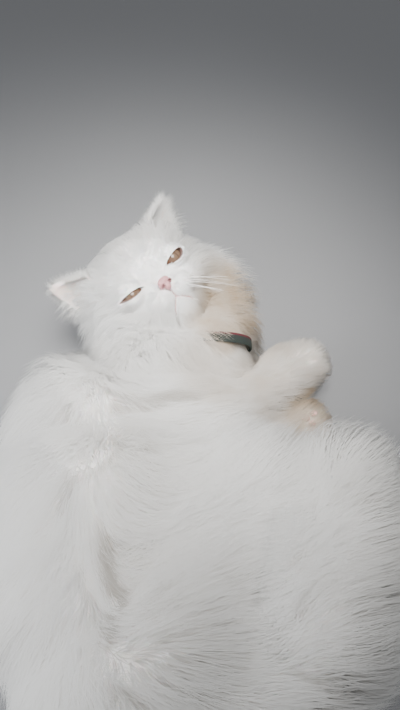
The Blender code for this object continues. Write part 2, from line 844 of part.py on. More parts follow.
def lock_mesh(bm, spine, width, thickness, margin=0.0):
    """Rings of three corners along the spine, a point at the tip and a lid at the root.

    The margin makes the whole lock fatter, to test what it would come near.
    """
    aheads = [(b[0] - a[0]).normalized() for a, b in zip(spine, spine[1:])]
    across = Vector()
    for ahead, (_, normal) in zip(aheads, spine):
        across += ahead.cross(normal).normalized()
    rings = []
    for (_, share), (place, _), ahead in zip(RINGS, spine, aheads):
        side = (across - ahead * across.dot(ahead)).normalized()
        up = side.cross(ahead)
        half = side * (width * share / 2 + margin * SIDE_MARGINS)
        below = up * (thickness * share * (1 - RIDGE_SHARE) + margin)
        above = up * (thickness * share * RIDGE_SHARE + margin * SIDE_MARGINS)
        corners = (place - half - below, place + half - below, place + above)
        rings.append([bm.verts.new(corner) for corner in corners])
    for vert in rings[0]:
        vert.co -= aheads[0] * margin
    tip = bm.verts.new(spine[-1][0] + aheads[-1] * margin * TIP_MARGINS)
    for lower, upper in zip(rings, rings[1:]):
        for index in range(3):
            following = (index + 1) % 3
            bm.faces.new((lower[index], lower[following], upper[following]))
            bm.faces.new((lower[index], upper[following], upper[index]))
    for index in range(3):
        bm.faces.new((rings[-1][index], rings[-1][(index + 1) % 3], tip))
    bm.faces.new(rings[0])
    bmesh.ops.recalc_face_normals(bm, faces=bm.faces)


def is_clear(spine, width, thickness, others):
    """True where the lock stays off the floor and clear of every other solid."""
    fat = bmesh.new()
    lock_mesh(fat, spine, width, thickness, CLEARANCE)
    lowest = min(vert.co.z for vert in fat.verts)
    tree = BVHTree.FromBMesh(fat)
    fat.free()
    return lowest > FLOOR_CLEARANCE and not any(tree.overlap(other) for other in others)


def plant_locks(locks, name, nodes, guide, draw):
    """Fills the collection with locks rooted all over one core."""
    lie, spacing, length, width, thickness, rise = LOCKS[name]
    others = [tree_of(other) for key, other in nodes.items() if key != name]
    tips = []
    for root in root_places(nodes[name], spacing, others, draw):
        grown, broad, risen = (
            size * draw.uniform(*UNEVEN) for size in (length, width, rise)
        )
        sway = draw.uniform(-SWAY, SWAY)
        lowest = draw.uniform(*LOWEST_SPINE)
        for shorter, lift, turn in WAYS:
            spine = lock_spine(
                guide, root, lie, grown * shorter, risen, sway + turn, lift, lowest
            )
            tip = spine[-1][0]
            if is_folded(spine) or any((tip - t).length < TIP_SPACING for t in tips):
                continue
            if is_clear(spine, broad, thickness, others):
                shape = partial(
                    lock_mesh, spine=spine, width=broad, thickness=thickness
                )
                make("lock", shape, locks)
                tips.append(tip)
                break


def join_locks(obj, locks):
    """One union of the core and all of its locks."""
    union = obj.modifiers.new("Union", "BOOLEAN")
    union.operation = "UNION"
    union.solver = "MANIFOLD"
    union.operand_type = "COLLECTION"
    union.collection = locks
    settle(obj)
    for lock in list(locks.objects):
        bpy.data.objects.remove(lock)
    bpy.data.collections.remove(locks)
    keep_largest(obj)


def grow_locks(name, nodes, guide):
    """Draws locks for one node, again where two of them come to touch each other."""
    obj = nodes[name]
    core = obj.data.copy()
    for attempt in range(MOST_DRAWS):
        obj.data = core.copy()
        locks = new_collection(f"{name}_locks")
        draw = random.Random(f"{SEED} {name} {attempt}")
        plant_locks(locks, name, nodes, guide, draw)
        join_locks(obj, locks)
        if not touches_itself(obj):
            break


# ---------------------------------------------------------------- finish

COLOURS = {
    "eye": ((0.45, 0.24, 0.10), 0.12),
    "nose": ((0.78, 0.47, 0.45), 0.5),
    "ear": ((0.90, 0.80, 0.76), 0.85),
    "collar": ((0.30, 0.03, 0.07), 0.8),
    "coat": ((0.88, 0.87, 0.84), 0.9),
}


def material_for(name):
    key = next((word for word in COLOURS if name.startswith(word)), "coat")
    colour, roughness = COLOURS[key]
    material = bpy.data.materials.new(f"{name}_finish")
    material.use_nodes = True
    shader = material.node_tree.nodes["Principled BSDF"]
    shader.inputs["Base Color"].default_value = (*colour, 1)
    shader.inputs["Roughness"].default_value = roughness
    shader.inputs["Metallic"].default_value = 0.0
    return material


def main():
    global CAT, BENCH
    clear_scene()
    CAT = new_collection("persian_cat")
    BENCH = new_collection("bench")
    nodes = {}
    guide = build_cores(nodes, CORE_SHARE)
    for name in LOCKS:
        grow_locks(name, nodes, guide)
    for name, obj in nodes.items():
        obj.data.materials.clear()
        obj.data.materials.append(material_for(name))
        print(name, triangle_count(obj))
    for obj in list(BENCH.objects):
        bpy.data.objects.remove(obj)


main()
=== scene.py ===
"""The looks of a white long-haired cat, life size, curled on its side with its face turned up.

Metres, in the frame of the solids: +Y from the rump to the head, +X from the back to the belly,
+Z up, with the floor at z = 0. The skin lies under the coat, and the coat is made of thin tufts
that are rooted in it, follow its lie and meet in locks.
"""

import math

import bmesh
import bpy
import numpy as np
from mathutils import Matrix, Quaternion, Vector
from mathutils.bvhtree import BVHTree
from mathutils.kdtree import KDTree


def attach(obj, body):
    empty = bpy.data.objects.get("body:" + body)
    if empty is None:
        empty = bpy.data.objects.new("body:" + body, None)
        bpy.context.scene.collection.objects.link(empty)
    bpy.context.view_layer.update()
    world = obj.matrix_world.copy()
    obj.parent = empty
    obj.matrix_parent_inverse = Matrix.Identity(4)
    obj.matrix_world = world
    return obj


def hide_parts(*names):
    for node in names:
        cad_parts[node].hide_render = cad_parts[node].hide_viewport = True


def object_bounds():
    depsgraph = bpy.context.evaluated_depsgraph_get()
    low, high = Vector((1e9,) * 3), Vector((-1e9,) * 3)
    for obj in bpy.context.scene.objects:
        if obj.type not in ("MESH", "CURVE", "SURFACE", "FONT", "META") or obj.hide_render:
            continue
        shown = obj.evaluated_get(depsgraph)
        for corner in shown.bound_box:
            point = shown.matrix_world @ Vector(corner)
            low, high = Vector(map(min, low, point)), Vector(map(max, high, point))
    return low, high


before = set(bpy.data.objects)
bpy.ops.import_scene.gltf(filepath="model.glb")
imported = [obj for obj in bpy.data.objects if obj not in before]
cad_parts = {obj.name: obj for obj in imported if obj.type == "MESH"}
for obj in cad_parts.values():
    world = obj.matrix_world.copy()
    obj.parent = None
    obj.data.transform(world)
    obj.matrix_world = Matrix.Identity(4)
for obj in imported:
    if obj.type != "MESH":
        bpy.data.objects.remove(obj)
cad_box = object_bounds()

# ---------------------------------------------------------------- floor, light and camera
# The cat lies on a plain pale floor. A wide soft light on the side of its back is the strongest,
# with a narrower one over its head and a weak one on the side of its belly. The camera looks down
# over its rump at the face.

FLOOR_COLOURS = ((0.22, 0.22, 0.225), (0.25, 0.25, 0.255))
LIGHTS = [  # (place, target, size, degrees of spread, watts, colour)
    ((0.11, 0.10, 0.60), (0.03, 0.18, 0.07), 0.35, 66, 1.45, (1.0, 0.99, 0.97)),
    ((-0.50, -0.20, 0.42), (-0.04, -0.06, 0.05), 0.55, 180, 5.3, (0.95, 0.975, 1.0)),
    ((0.75, -0.85, 0.80), (0.0, 0.0, 0.05), 0.9, 180, 0.4, (1.0, 0.99, 0.98)),
]
SKY_COLOUR = (0.93, 0.96, 1.0, 1)
SKY_STRENGTH = 0.435
CAMERA_PLACE = (0.06, -0.115, 0.465)
CAMERA_PITCH = 30  # degrees up from straight down
SENSOR, LENS = 36, 27  # mm
FLOOR_SIZE = 4


def new_material(name, colour, roughness):
    """A Principled material, with its node tree and its main shader."""
    material = bpy.data.materials.new(name)
    material.use_nodes = True
    tree = material.node_tree
    shader = next(n for n in tree.nodes if n.type == "BSDF_PRINCIPLED")
    shader.inputs["Base Color"].default_value = (*colour, 1)
    shader.inputs["Roughness"].default_value = roughness
    return material, tree, shader


def add_node(tree, kind, inputs=(), output=0, **settings):
    """A node's output, with its inputs fed by sockets or set to values."""
    node = tree.nodes.new(kind if kind.startswith("Node") else "ShaderNode" + kind)
    for key, value in settings.items():
        setattr(node, key, value)
    for name, source in dict(inputs).items():
        if isinstance(source, bpy.types.NodeSocket):
            tree.links.new(source, node.inputs[name])
        else:
            node.inputs[name].default_value = source
    return node.outputs[output] if node.outputs else None


def grain(tree, kind, scale, **more):
    """A noise, or a field of cells, over the piece's own space."""
    place = add_node(tree, "TexCoord", output="Object")
    return add_node(tree, kind, {"Vector": place, "Scale": scale, **more})


def blend(tree, share, first, second):
    """A mix of two colours, each a socket or a value, by a changing share."""
    pair = [c if isinstance(c, bpy.types.NodeSocket) else (*c, 1) for c in (first, second)]
    return add_node(tree, "Mix", {"Factor": share, 6: pair[0], 7: pair[1]}, 2, data_type="RGBA")


def new_object(name, mesh, material=None):
    obj = bpy.data.objects.new(name, mesh)
    bpy.context.scene.collection.objects.link(obj)
    if material:
        mesh.materials.clear()
        mesh.materials.append(material)
    return obj


def shaped(name, shape, material=None):
    """An object whose mesh the function shape draws."""
    mesh = bpy.data.meshes.new(name)
    bm = bmesh.new()
    shape(bm)
    bm.to_mesh(mesh)
    bm.free()
    return new_object(name, mesh, material)


def floor_shape(bm):
    bmesh.ops.create_grid(bm, x_segments=1, y_segments=1, size=FLOOR_SIZE)


def build_floor():
    material, tree, shader = new_material("floor_finish", FLOOR_COLOURS[0], 0.85)
    tint = blend(tree, grain(tree, "TexNoise", 2.0), *FLOOR_COLOURS)
    tree.links.new(tint, shader.inputs["Base Color"])
    shaped("floor", floor_shape, material)


def build_lights():
    for number, (place, target, size, spread, watts, colour) in enumerate(LIGHTS):
        light = bpy.data.lights.new(f"light_{number}", "AREA")
        light.shape = "DISK"
        light.size = size
        light.spread = math.radians(spread)
        light.energy = watts
        light.color = colour
        lamp = new_object(light.name, light)
        lamp.location = place
        aim = Vector(target) - Vector(place)
        lamp.rotation_euler = aim.to_track_quat("-Z", "Y").to_euler()
    world = bpy.data.worlds.new("studio")
    bpy.context.scene.world = world
    world.use_nodes = True
    backdrop = world.node_tree.nodes["Background"]
    backdrop.inputs["Color"].default_value = SKY_COLOUR
    backdrop.inputs["Strength"].default_value = SKY_STRENGTH


def build_camera():
    camera = bpy.data.cameras.new("camera")
    camera.sensor_fit = "VERTICAL"
    camera.sensor_width = camera.sensor_height = SENSOR
    camera.lens = LENS
    camera.clip_start = 0.01
    holder = new_object("camera", camera)
    holder.location = CAMERA_PLACE
    holder.rotation_euler = (math.radians(CAMERA_PITCH), 0, 0)
    bpy.context.scene.camera = holder


build_floor()
build_lights()
build_camera()

# ---------------------------------------------------------------- skin
# One closed hide over muscle and bone, from the muzzle to the tip of the tail. It is pale, bare
# only round the eyes and on the lips, and lies under the whole depth of the coat.

TRUNK = [  # (centre, radii)
    ((-0.026, 0.046, 0.054), (0.048, 0.046, 0.044)),  # shoulders
    ((-0.014, -0.015, 0.064), (0.055, 0.052, 0.052)),  # ribs
    ((-0.012, -0.068, 0.063), (0.053, 0.050, 0.050)),  # loin
    ((0.016, -0.116, 0.062), (0.050, 0.048, 0.048)),  # pelvis
    ((0.046, -0.146, 0.056), (0.036, 0.032, 0.038)),  # rump
    ((0.034, -0.020, 0.050), (0.040, 0.052, 0.042)),  # belly
    ((0.026, 0.046, 0.046), (0.040, 0.038, 0.036)),  # brisket
    ((-0.042, 0.066, 0.052), (0.028, 0.028, 0.036)),  # point of the shoulder
    ((0.124, -0.058, 0.066), (0.020, 0.042, 0.024)),  # fold between thigh and tail
]
NECK = [
    ((0.016, 0.098, 0.046), (0.038, 0.028, 0.028)),
    ((0.034, 0.126, 0.042), (0.042, 0.026, 0.022)),
    ((0.022, 0.168, 0.034), (0.044, 0.034, 0.022)),  # nape
    ((0.058, 0.150, 0.036), (0.030, 0.032, 0.020)),  # throat
    ((0.072, 0.126, 0.040), (0.016, 0.024, 0.018)),  # side of the throat
    ((0.056, 0.196, 0.028), (0.030, 0.036, 0.016)),  # under the left cheek
]
LIMBS = {  # chains of joints: (place, radius)
    "foreleg_right": [
        ((0.048, 0.058, 0.060), 0.024),
        ((0.068, 0.061, 0.057), 0.019),
        ((0.128, 0.105, 0.041), 0.0150),
        ((0.158, 0.127, 0.033), 0.0155),
    ],
    "foreleg_left": [
        ((0.058, 0.016, 0.030), 0.020),
        ((0.076, 0.023, 0.026), 0.017),
        ((0.127, 0.055, 0.021), 0.0125),
        ((0.157, 0.071, 0.020), 0.0135),
    ],
    "hindleg_right": [
        ((0.034, -0.098, 0.078), 0.036),
        ((0.092, -0.008, 0.066), 0.031),
        ((0.120, -0.096, 0.048), 0.013),
        ((0.148, -0.034, 0.044), 0.012),
    ],
    "hindleg_left": [
        ((0.046, -0.088, 0.040), 0.030),
        ((0.096, -0.014, 0.030), 0.024),
        ((0.158, -0.078, 0.017), 0.012),
        ((0.176, -0.012, 0.017), 0.013),
    ],
    "tail": [
        ((0.058, -0.158, 0.062), 0.024),
        ((0.104, -0.140, 0.078), 0.020),
        ((0.142, -0.094, 0.086), 0.019),
        ((0.163, -0.042, 0.084), 0.018),
        ((0.168, 0.004, 0.068), 0.016),
    ],
}
TOE_RADIUS = 0.0075
TOE_PITCH = 0.0086
TOE_DROP = 0.0019
TOES = ((-1.5, 0.55), (-0.5, 0.95), (0.5, 0.95), (1.5, 0.55))  # (place, reach), in pitches

# The head is shaped upright, +X to the cat's right and +Y forward, and then turned.
HEAD = [  # (centre, radii), on both sides where it isn't on the middle line
    ((0.0, -0.004, 0.009), (0.0435, 0.041, 0.0375)),  # cranium
    ((0.028, 0.010, -0.016), (0.024, 0.0245, 0.023)),  # cheek
    ((0.034, 0.000, 0.027), (0.018, 0.015, 0.015)),  # mound of the ear
    ((0.016, 0.023, 0.015), (0.020, 0.014, 0.014)),  # brow
    ((0.0255, 0.0215, -0.001), (0.0205, 0.0165, 0.0185)),  # bed of the eye
    ((0.0, 0.0275, 0.002), (0.0160, 0.0118, 0.018)),  # bridge
    ((0.0110, 0.0340, -0.0215), (0.0155, 0.0120, 0.0125)),  # whisker pad
    ((0.0215, 0.0250, -0.0200), (0.0180, 0.0145, 0.0160)),  # side of the pad
    ((0.0120, 0.0290, -0.0075), (0.0120, 0.0110, 0.0130)),  # side of the nose
    ((0.0, 0.029, -0.030), (0.0200, 0.0140, 0.0180)),  # muzzle
    ((0.0, 0.0300, -0.0385), (0.0140, 0.0122, 0.0118)),  # chin
    ((0.0, 0.015, -0.030), (0.033, 0.025, 0.023)),  # jaw
]
SKULL = Vector((0.0095, 0.1885, 0.067))
FACE_AZIMUTH = math.radians(-52.7)
FACE_ELEVATION = math.radians(63.6)
HEAD_ROLL = math.radians(11.8)
EYE = Vector((0.0250, 0.0285, 0.000))
EYE_RADIUS = 0.0115
EYE_TILT = math.radians(9)
EYE_TURN = math.radians(14)
LID_THICKNESS = 0.0030
SOCKET_GAP = 0.0002
OPENINGS = {1: (0.0118, 0.012, 0.0031), -1: (0.0110, 0.012, 0.0050)}  # half the lids' opening
CORNER_SHARE = 0.30
UPPER_LID_DROOP = 0.55
MOUTH = [(0.0, -0.0185), (0.0, -0.0262), (0.0042, -0.0296), (0.0088, -0.0345), (0.0108, -0.0375)]
LIP_GROOVE = (0.0012, 0.0009)  # depth and half width
LID_FOLDS = (0.0003, 1.55, 0.14)  # depth, then place and half width in openings of the lids
RIM_REACH = 0.14  # of the lids' dark rim, in openings
LIP_REACH = 0.0013  # of the lips' colour, which also paints the shade along the crease of the mouth
BODY_VOXEL = 0.0022
HEAD_VOXEL = 0.0008


def settle(obj):
    """Keeps the shape that the modifiers give, and drops them."""
    bpy.context.view_layer.update()
    graph = bpy.context.evaluated_depsgraph_get()
    mesh = bpy.data.meshes.new_from_object(obj.evaluated_get(graph))
    obj.modifiers.clear()
    obj.data = mesh
    return obj


def fuse(obj, voxel, rounds):
    """Melts overlapping shapes into one smooth closed skin."""
    melt = obj.modifiers.new("Melt", "REMESH")
    melt.mode = "VOXEL"
    melt.voxel_size = voxel
    relax = obj.modifiers.new("Relax", "SMOOTH")
    relax.factor = 0.5
    relax.iterations = rounds
    return settle(obj)


def combine(obj, operation, other):
    """Joins another closed shape to obj, or cuts it out, and drops the other."""
    change = obj.modifiers.new("Change", "BOOLEAN")
    change.operation = operation
    change.solver = "MANIFOLD"
    change.object = other
    settle(obj)
    bpy.data.objects.remove(other)


def add_ball(bm, centre, radii, detail=3):
    matrix = Matrix.Translation(Vector(centre)) @ Matrix.Diagonal((*radii, 1))
    bmesh.ops.create_icosphere(bm, subdivisions=detail, radius=1, matrix=matrix)


def add_pair(bm, centre, radii, detail=3):
    """A ball, and its twin on the other side where it isn't on the middle line."""
    add_ball(bm, centre, radii, detail)
    if centre[0]:
        add_ball(bm, (-centre[0], *centre[1:]), radii, detail)


def add_limb(bm, joints):
    """Rounded cones from joint to joint."""
    places = [(Vector(place), radius) for place, radius in joints]
    for (start, first), (end, second) in zip(places, places[1:]):
        axis = end - start
        turn = axis.to_track_quat("Z", "Y").to_matrix().to_4x4()
        place = Matrix.Translation((start + end) / 2) @ turn
        sizes = {"radius1": first, "radius2": second, "depth": axis.length}
        bmesh.ops.create_cone(bm, cap_ends=True, segments=32, matrix=place, **sizes)
    for place, radius in places:
        add_ball(bm, place, (radius,) * 3)


def add_toes(bm, joints):
    wrist, paw = Vector(joints[-2][0]), Vector(joints[-1][0])
    ahead = (paw - wrist).normalized()
    side = ahead.cross(Vector((0, 0, 1))).normalized() * TOE_PITCH
    for across, far in TOES:
        toe = paw + side * across + ahead * joints[-1][1] * far - Vector((0, 0, TOE_DROP))
        add_ball(bm, toe, (TOE_RADIUS,) * 3, 2)


def body_shape(bm):
    for centre, radii in TRUNK + NECK:
        add_ball(bm, centre, radii)
    for name, joints in LIMBS.items():
        add_limb(bm, joints)
        if name != "tail":
            add_toes(bm, joints)


def head_shape(bm):
    for centre, radii in HEAD:
        add_pair(bm, centre, radii, 4)
    add_pair(bm, tuple(EYE), (EYE_RADIUS + LID_THICKNESS,) * 3, 4)


def head_place():
    """The matrix that takes the upright head to its place."""
    forward = Vector((math.cos(FACE_AZIMUTH), math.sin(FACE_AZIMUTH), 0))
    forward *= math.cos(FACE_ELEVATION)
    forward.z = math.sin(FACE_ELEVATION)
    up = (Vector((0, 0, 1)) - forward * forward.z).normalized()
    up.rotate(Quaternion(forward, HEAD_ROLL))
    turn = Matrix((forward.cross(up), forward, up)).transposed().to_4x4()
    return Matrix.Translation(SKULL) @ turn


def eye_place(side):
    return Vector((side * EYE.x, EYE.y, EYE.z))


def eye_turn(side):
    """The turn of one eye: its corners' tilt, and how far it looks outwards."""
    outwards = Matrix.Rotation(-side * EYE_TURN, 3, "Z")
    return outwards @ Matrix.Rotation(-side * EYE_TILT, 3, "Y")


def opening_shape(side):
    """The almond between the lids, as a cutter."""

    def shape(bm):
        bmesh.ops.create_uvsphere(bm, u_segments=48, v_segments=24, radius=1)
        centre = eye_place(side) + Vector((0, EYE_RADIUS, 0))
        for vert in bm.verts:
            fullness = math.sqrt(max(0.0, 1 - vert.co.x**2))
            width, depth, height = OPENINGS[side]
            height *= CORNER_SHARE + (1 - CORNER_SHARE) * fullness
            if vert.co.z > 0:
                height *= UPPER_LID_DROOP
            local = Vector((vert.co.x * width, vert.co.y * depth, vert.co.z * height))
            vert.co = centre + eye_turn(side) @ local

    return shape


def length(vectors):
    return np.linalg.norm(vectors, axis=-1)


def bell(distance, width):
    return np.exp(-((distance / width) ** 2))


def off_line(points, line):
    """The way to each point from the nearest place on a line through the given ones."""
    best = np.full(points.shape, 1e9)
    for start, end in zip(line[:-1], line[1:]):
        start, along = np.array(start, float), np.subtract(end, start)
        share = np.clip((points - start) @ along / (along @ along), 0, 1)
        offset = points - start - share[:, None] * along
        nearer = length(offset) < length(best)
        best = np.where(nearer[:, None], offset, best)
    return best


def mouth_distance(local):
    """How far points in the head's own frame are from the line where the lips meet."""
    away = length(off_line(np.stack([np.abs(local[:, 0]), local[:, 2]], axis=1), MOUTH))
    return np.where(local[:, 1] > 0.015, away, 1.0)


def opening_measure(local):
    """0 in the middle of the nearer eye's opening, 1 on the edge of its lids."""
    best = np.full(len(local), 9.0)
    for side in (1, -1):
        place = (local - np.array(eye_place(side))) @ np.array(eye_turn(side))
        across = place[:, 0] / OPENINGS[side][0]
        fullness = np.sqrt(np.clip(1 - across**2, 0, 1))
        height = OPENINGS[side][2] * (CORNER_SHARE + (1 - CORNER_SHARE) * fullness)
        height = np.where(place[:, 2] > 0, height * UPPER_LID_DROOP, height)
        measure = np.hypot(across, place[:, 2] / height)
        best = np.where(place[:, 1] > 0.002, np.minimum(best, measure), best)
    return best


def read_rows(items, name, width=3, kind=np.float32):
    """One value of each of a mesh's items, as an array with a row for each."""
    values = np.empty(len(items) * width, kind)
    items.foreach_get(name, values)
    return values.reshape(-1, width)


def vertex_array(mesh, name="co"):
    return read_rows(mesh.vertices, name).astype(float)


def set_value(mesh, name, values, kind="FLOAT", field="value"):
    """A value for each vertex, which the materials read by its name."""
    layer = mesh.attributes.new(name, kind, "POINT")
    layer.data.foreach_set(field, np.asarray(values, np.float32).ravel())


def carve_face(mesh):
    """Presses in the line of the lips, and the folds above and below the eyes."""
    places, normals = vertex_array(mesh), vertex_array(mesh, "normal")
    groove, width = LIP_GROOVE
    fold, place, spread = LID_FOLDS
    lips = bell(mouth_distance(places), width)
    measure = opening_measure(places)
    folds = bell(measure - place, spread) * (np.abs(measure) < 3)
    places -= normals * (groove * lips + fold * folds)[:, None]
    mesh.vertices.foreach_set("co", places.astype(np.float32).ravel())
    mesh.update()


def build_skin():
    head = fuse(shaped("head_skin", head_shape), HEAD_VOXEL, 80)
    for side in (1, -1):
        combine(head, "DIFFERENCE", shaped("opening", opening_shape(side)))
    socket = (EYE_RADIUS + SOCKET_GAP,) * 3
    for side in (1, -1):
        hollow = shaped("socket", lambda bm: add_ball(bm, eye_place(side), socket, 4))
        combine(head, "DIFFERENCE", hollow)
    carve_face(head.data)
    head.data.transform(HEAD_MATRIX)
    skin = fuse(shaped("skin", body_shape), BODY_VOXEL, 6)
    combine(skin, "UNION", head)
    return skin


def to_head(places):
    """Places in the head's own, upright frame."""
    return (places - np.array(SKULL)) @ HEAD_TURN


HEAD_MATRIX = head_place()
HEAD_TURN = np.array(HEAD_MATRIX.to_3x3())
skin = build_skin()
skin_places = vertex_array(skin.data)
skin_local = to_head(skin_places)
rim = np.clip((opening_measure(skin_local) - 1.0) / RIM_REACH, 0, 1)
set_value(skin.data, "rim", 1 - rim)
set_value(skin.data, "lip", bell(mouth_distance(skin_local), LIP_REACH))


def remap(tree, value, low, high, first=0.0, last=1.0, kind="LINEAR"):
    """A value taken from the range low to high over to the range first to last."""
    limits = {"From Min": low, "From Max": high, "To Min": first, "To Max": last}
    return add_node(tree, "MapRange", {"Value": value, **limits}, interpolation_type=kind)


def calculate(tree, operation, *values):
    return add_node(tree, "Math", enumerate(values), operation=operation)


def read_value(tree, name, output="Fac"):
    return add_node(tree, "Attribute", output=output, attribute_name=name)


def new_group(name, *colours):
    """A node group that takes the colours named and puts out one, with its input node."""
    group = bpy.data.node_groups.new(name, "ShaderNodeTree")
    for colour in colours:
        group.interface.new_socket(colour, in_out="INPUT", socket_type="NodeSocketColor")
    group.interface.new_socket("Colour", in_out="OUTPUT", socket_type="NodeSocketColor")
    return group, group.nodes.new("NodeGroupInput").outputs


def buff_stain_and_shade_group():
    """The colour of skin or hair by its place: white, and buff at the throat and the paws. The buff
    is partly the coat's own cream stain and partly painted shade and warm bounce light.
    """
    group, given = new_group("buff_stain_and_shade", "White", "Buff")
    place = add_node(group, "TexCoord", output="Object")
    mask = None
    for centre, inner, outer, most in BUFF:
        away = add_node(group, "VectorMath", {0: place, 1: centre}, "Value", operation="DISTANCE")
        part = remap(group, away, inner, outer, most, 0.0, "SMOOTHSTEP")
        mask = calculate(group, "MAXIMUM", mask, part) if mask else part
    patchy = remap(group, grain(group, "TexNoise", 60.0), 0.25, 0.75, 0.55, 1.0)
    share = calculate(group, "MULTIPLY", mask, patchy)
    colour = blend(group, share, given["White"], given["Buff"])
    add_node(group, "NodeGroupOutput", {"Colour": colour})
    return group


def parting_shade_group():
    """A colour greyed by painted shade where the coat parts."""
    group, given = new_group("parting_shade", "Colour")
    share = remap(group, read_value(group, "parted"), 0.35, 1.15, 0.0, 0.8)
    colour = blend(group, share, given["Colour"], PARTING_SHADE_COLOUR)
    add_node(group, "NodeGroupOutput", {"Colour": colour})
    return group


# Buff patches: partly the coat's own cream stain, partly painted shade under the chin and on the paws.
BUFF = [  # (centre, radius of the full colour, radius where it ends, most)
    ((0.094, 0.176, 0.056), 0.026, 0.064, 1.0),
    ((0.077, 0.137, 0.077), 0.016, 0.038, 0.85),
    ((0.135, 0.095, 0.045), 0.034, 0.086, 0.46),
    ((0.078, 0.092, 0.085), 0.016, 0.058, 0.42),
    # On the tucked second forepaw, where the buff is mostly painted shade.
    ((0.152, 0.074, 0.026), 0.024, 0.036, 1.0),
]
# The painted shade in the partings of the coat, on skin and hair alike.
PARTING_SHADE_COLOUR = (0.52, 0.485, 0.44)
BUFF_STAIN_AND_SHADE = buff_stain_and_shade_group()
PARTING_SHADE = parting_shade_group()


def place_buff_stain_and_shade(tree, white, buff):
    """The buff stain and painted shade in one material, with its own white and buff."""
    colours = {"White": (*white, 1), "Buff": (*buff, 1)}
    return add_node(tree, "Group", colours, node_tree=BUFF_STAIN_AND_SHADE)


def finish(tree, shader, colour, height=None, distance=0.0, strength=0.0, **values):
    """Gives a shader its colour, its bump and its plain values."""
    tree.links.new(colour, shader.inputs["Base Color"])
    if height:
        bump = {"Height": height, "Distance": distance, "Strength": strength}
        tree.links.new(add_node(tree, "Bump", bump), shader.inputs["Normal"])
    for name, value in values.items():
        shader.inputs[name.replace("_", " ")].default_value = value


def skin_material():
    material, tree, shader = new_material("skin_finish", (0.8, 0.66, 0.62), 0.5)
    # White with buff, which is partly stain and partly painted shade.
    colour = place_buff_stain_and_shade(tree, (0.93, 0.91, 0.90), (0.74, 0.62, 0.50))
    # Painted shade where the coat parts.
    colour = add_node(tree, "Group", {"Colour": colour}, node_tree=PARTING_SHADE)
    # The lips' own pink, spread wider as painted shade along the crease of the mouth.
    colour = blend(tree, read_value(tree, "lip"), colour, (0.44, 0.255, 0.245))
    colour = blend(tree, read_value(tree, "rim"), colour, (0.16, 0.10, 0.085))
    pores = grain(tree, "TexNoise", 1400.0)
    flesh = {"Subsurface_Weight": 0.15, "Subsurface_Scale": 0.002}
    finish(tree, shader, colour, pores, 0.0002, 0.5, **flesh)
    return material


def dress(obj, material, slot, *nodes):
    """Gives a piece its finish and smooth shading, hangs it from the root, and hides the solids that
    it stands for.
    """
    obj.data.materials.clear()
    obj.data.materials.append(material)
    obj.data.shade_smooth()
    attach(obj, "root")
    if nodes:
        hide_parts(*nodes)


dress(skin, skin_material(), "coat", "head", "neck", "torso", *LIMBS)

# ---------------------------------------------------------------- eyes
# Each eye is a wet ball with a copper iris and a narrow pupil. It is set in a socket behind the
# lids, which leave only a slit of it open.

IRIS_EDGE = 0.80  # of the eye's radius, off its axis
PUPIL = (0.080, 0.45)  # half width and half height, of the eye's radius
CORNEA_EDGE = 0.82  # of the eye's radius, along its axis
CORNEA_RISE = 0.045


def eye_material():
    material, tree, shader = new_material("eye_finish", (0.4, 0.22, 0.08), 0.18)
    gaze = read_value(tree, "gaze", "Vector")
    across, up = (add_node(tree, "SeparateXYZ", {0: gaze}, axis) for axis in "XZ")

    def step(value, low, high):
        return remap(tree, value, low, high, kind="SMOOTHSTEP")

    def diagonal(*sides):
        squares = [calculate(tree, "MULTIPLY", side, side) for side in sides]
        return calculate(tree, "SQRT", calculate(tree, "ADD", *squares))

    off_axis = diagonal(across, up)
    spoke = add_node(
        tree, "CombineXYZ", {"X": calculate(tree, "ARCTAN2", up, across), "Y": off_axis}
    )
    spoke = add_node(tree, "VectorMath", {0: spoke, 1: (9.0, 1.6, 0)}, operation="MULTIPLY")
    fibres = add_node(tree, "TexNoise", {"Vector": spoke, "Scale": 1.6, "Detail": 4.0})
    ball = blend(tree, step(off_axis, 0.15, 0.8), (0.135, 0.085, 0.052), (0.105, 0.055, 0.040))
    ball = blend(tree, step(fibres, 0.35, 0.75), ball, (0.17, 0.11, 0.072))
    ball = blend(tree, step(off_axis, IRIS_EDGE - 0.14, IRIS_EDGE), ball, (0.10, 0.04, 0.02))
    rim = step(off_axis, IRIS_EDGE + 0.06, IRIS_EDGE + 0.12)
    ball = blend(tree, rim, ball, (0.34, 0.26, 0.23))
    slit = diagonal(*(calculate(tree, "DIVIDE", *pair) for pair in zip((across, up), PUPIL)))
    colour = blend(tree, step(slit, 0.4, 1.3), (0.095, 0.058, 0.040), ball)
    wet = {"Specular_IOR_Level": 0.25, "Coat_Weight": 0.25, "Coat_Roughness": 0.09}
    finish(tree, shader, colour, **wet)
    return material


def eye_shape(bm):
    bmesh.ops.create_uvsphere(bm, u_segments=64, v_segments=48, radius=EYE_RADIUS)
    bmesh.ops.rotate(bm, verts=bm.verts, matrix=Matrix.Rotation(math.radians(-90), 3, "X"))
    for vert in bm.verts:
        swell = max(0.0, (vert.co.y / EYE_RADIUS - CORNEA_EDGE) / (1 - CORNEA_EDGE))
        vert.co *= 1 + CORNEA_RISE * swell * (2 - swell)


def build_eye(side, word, material):
    eye = shaped(f"eyeball_{word}", eye_shape)
    set_value(eye.data, "gaze", vertex_array(eye.data) / EYE_RADIUS, "FLOAT_VECTOR", "vector")
    place = Matrix.Translation(eye_place(side)) @ eye_turn(side).to_4x4()
    eye.data.transform(HEAD_MATRIX @ place)
    dress(eye, material, "eye", f"eye_{word}")


SIDES = ((1, "right"), (-1, "left"))
EYE_FINISH = eye_material()
for side, word in SIDES:
    build_eye(side, word, EYE_FINISH)

# ---------------------------------------------------------------- nose
# A small pad of pink, finely pebbled leather with two slanted nostrils. It sits between the
# whisker pads, with its foot on the line of the lips.

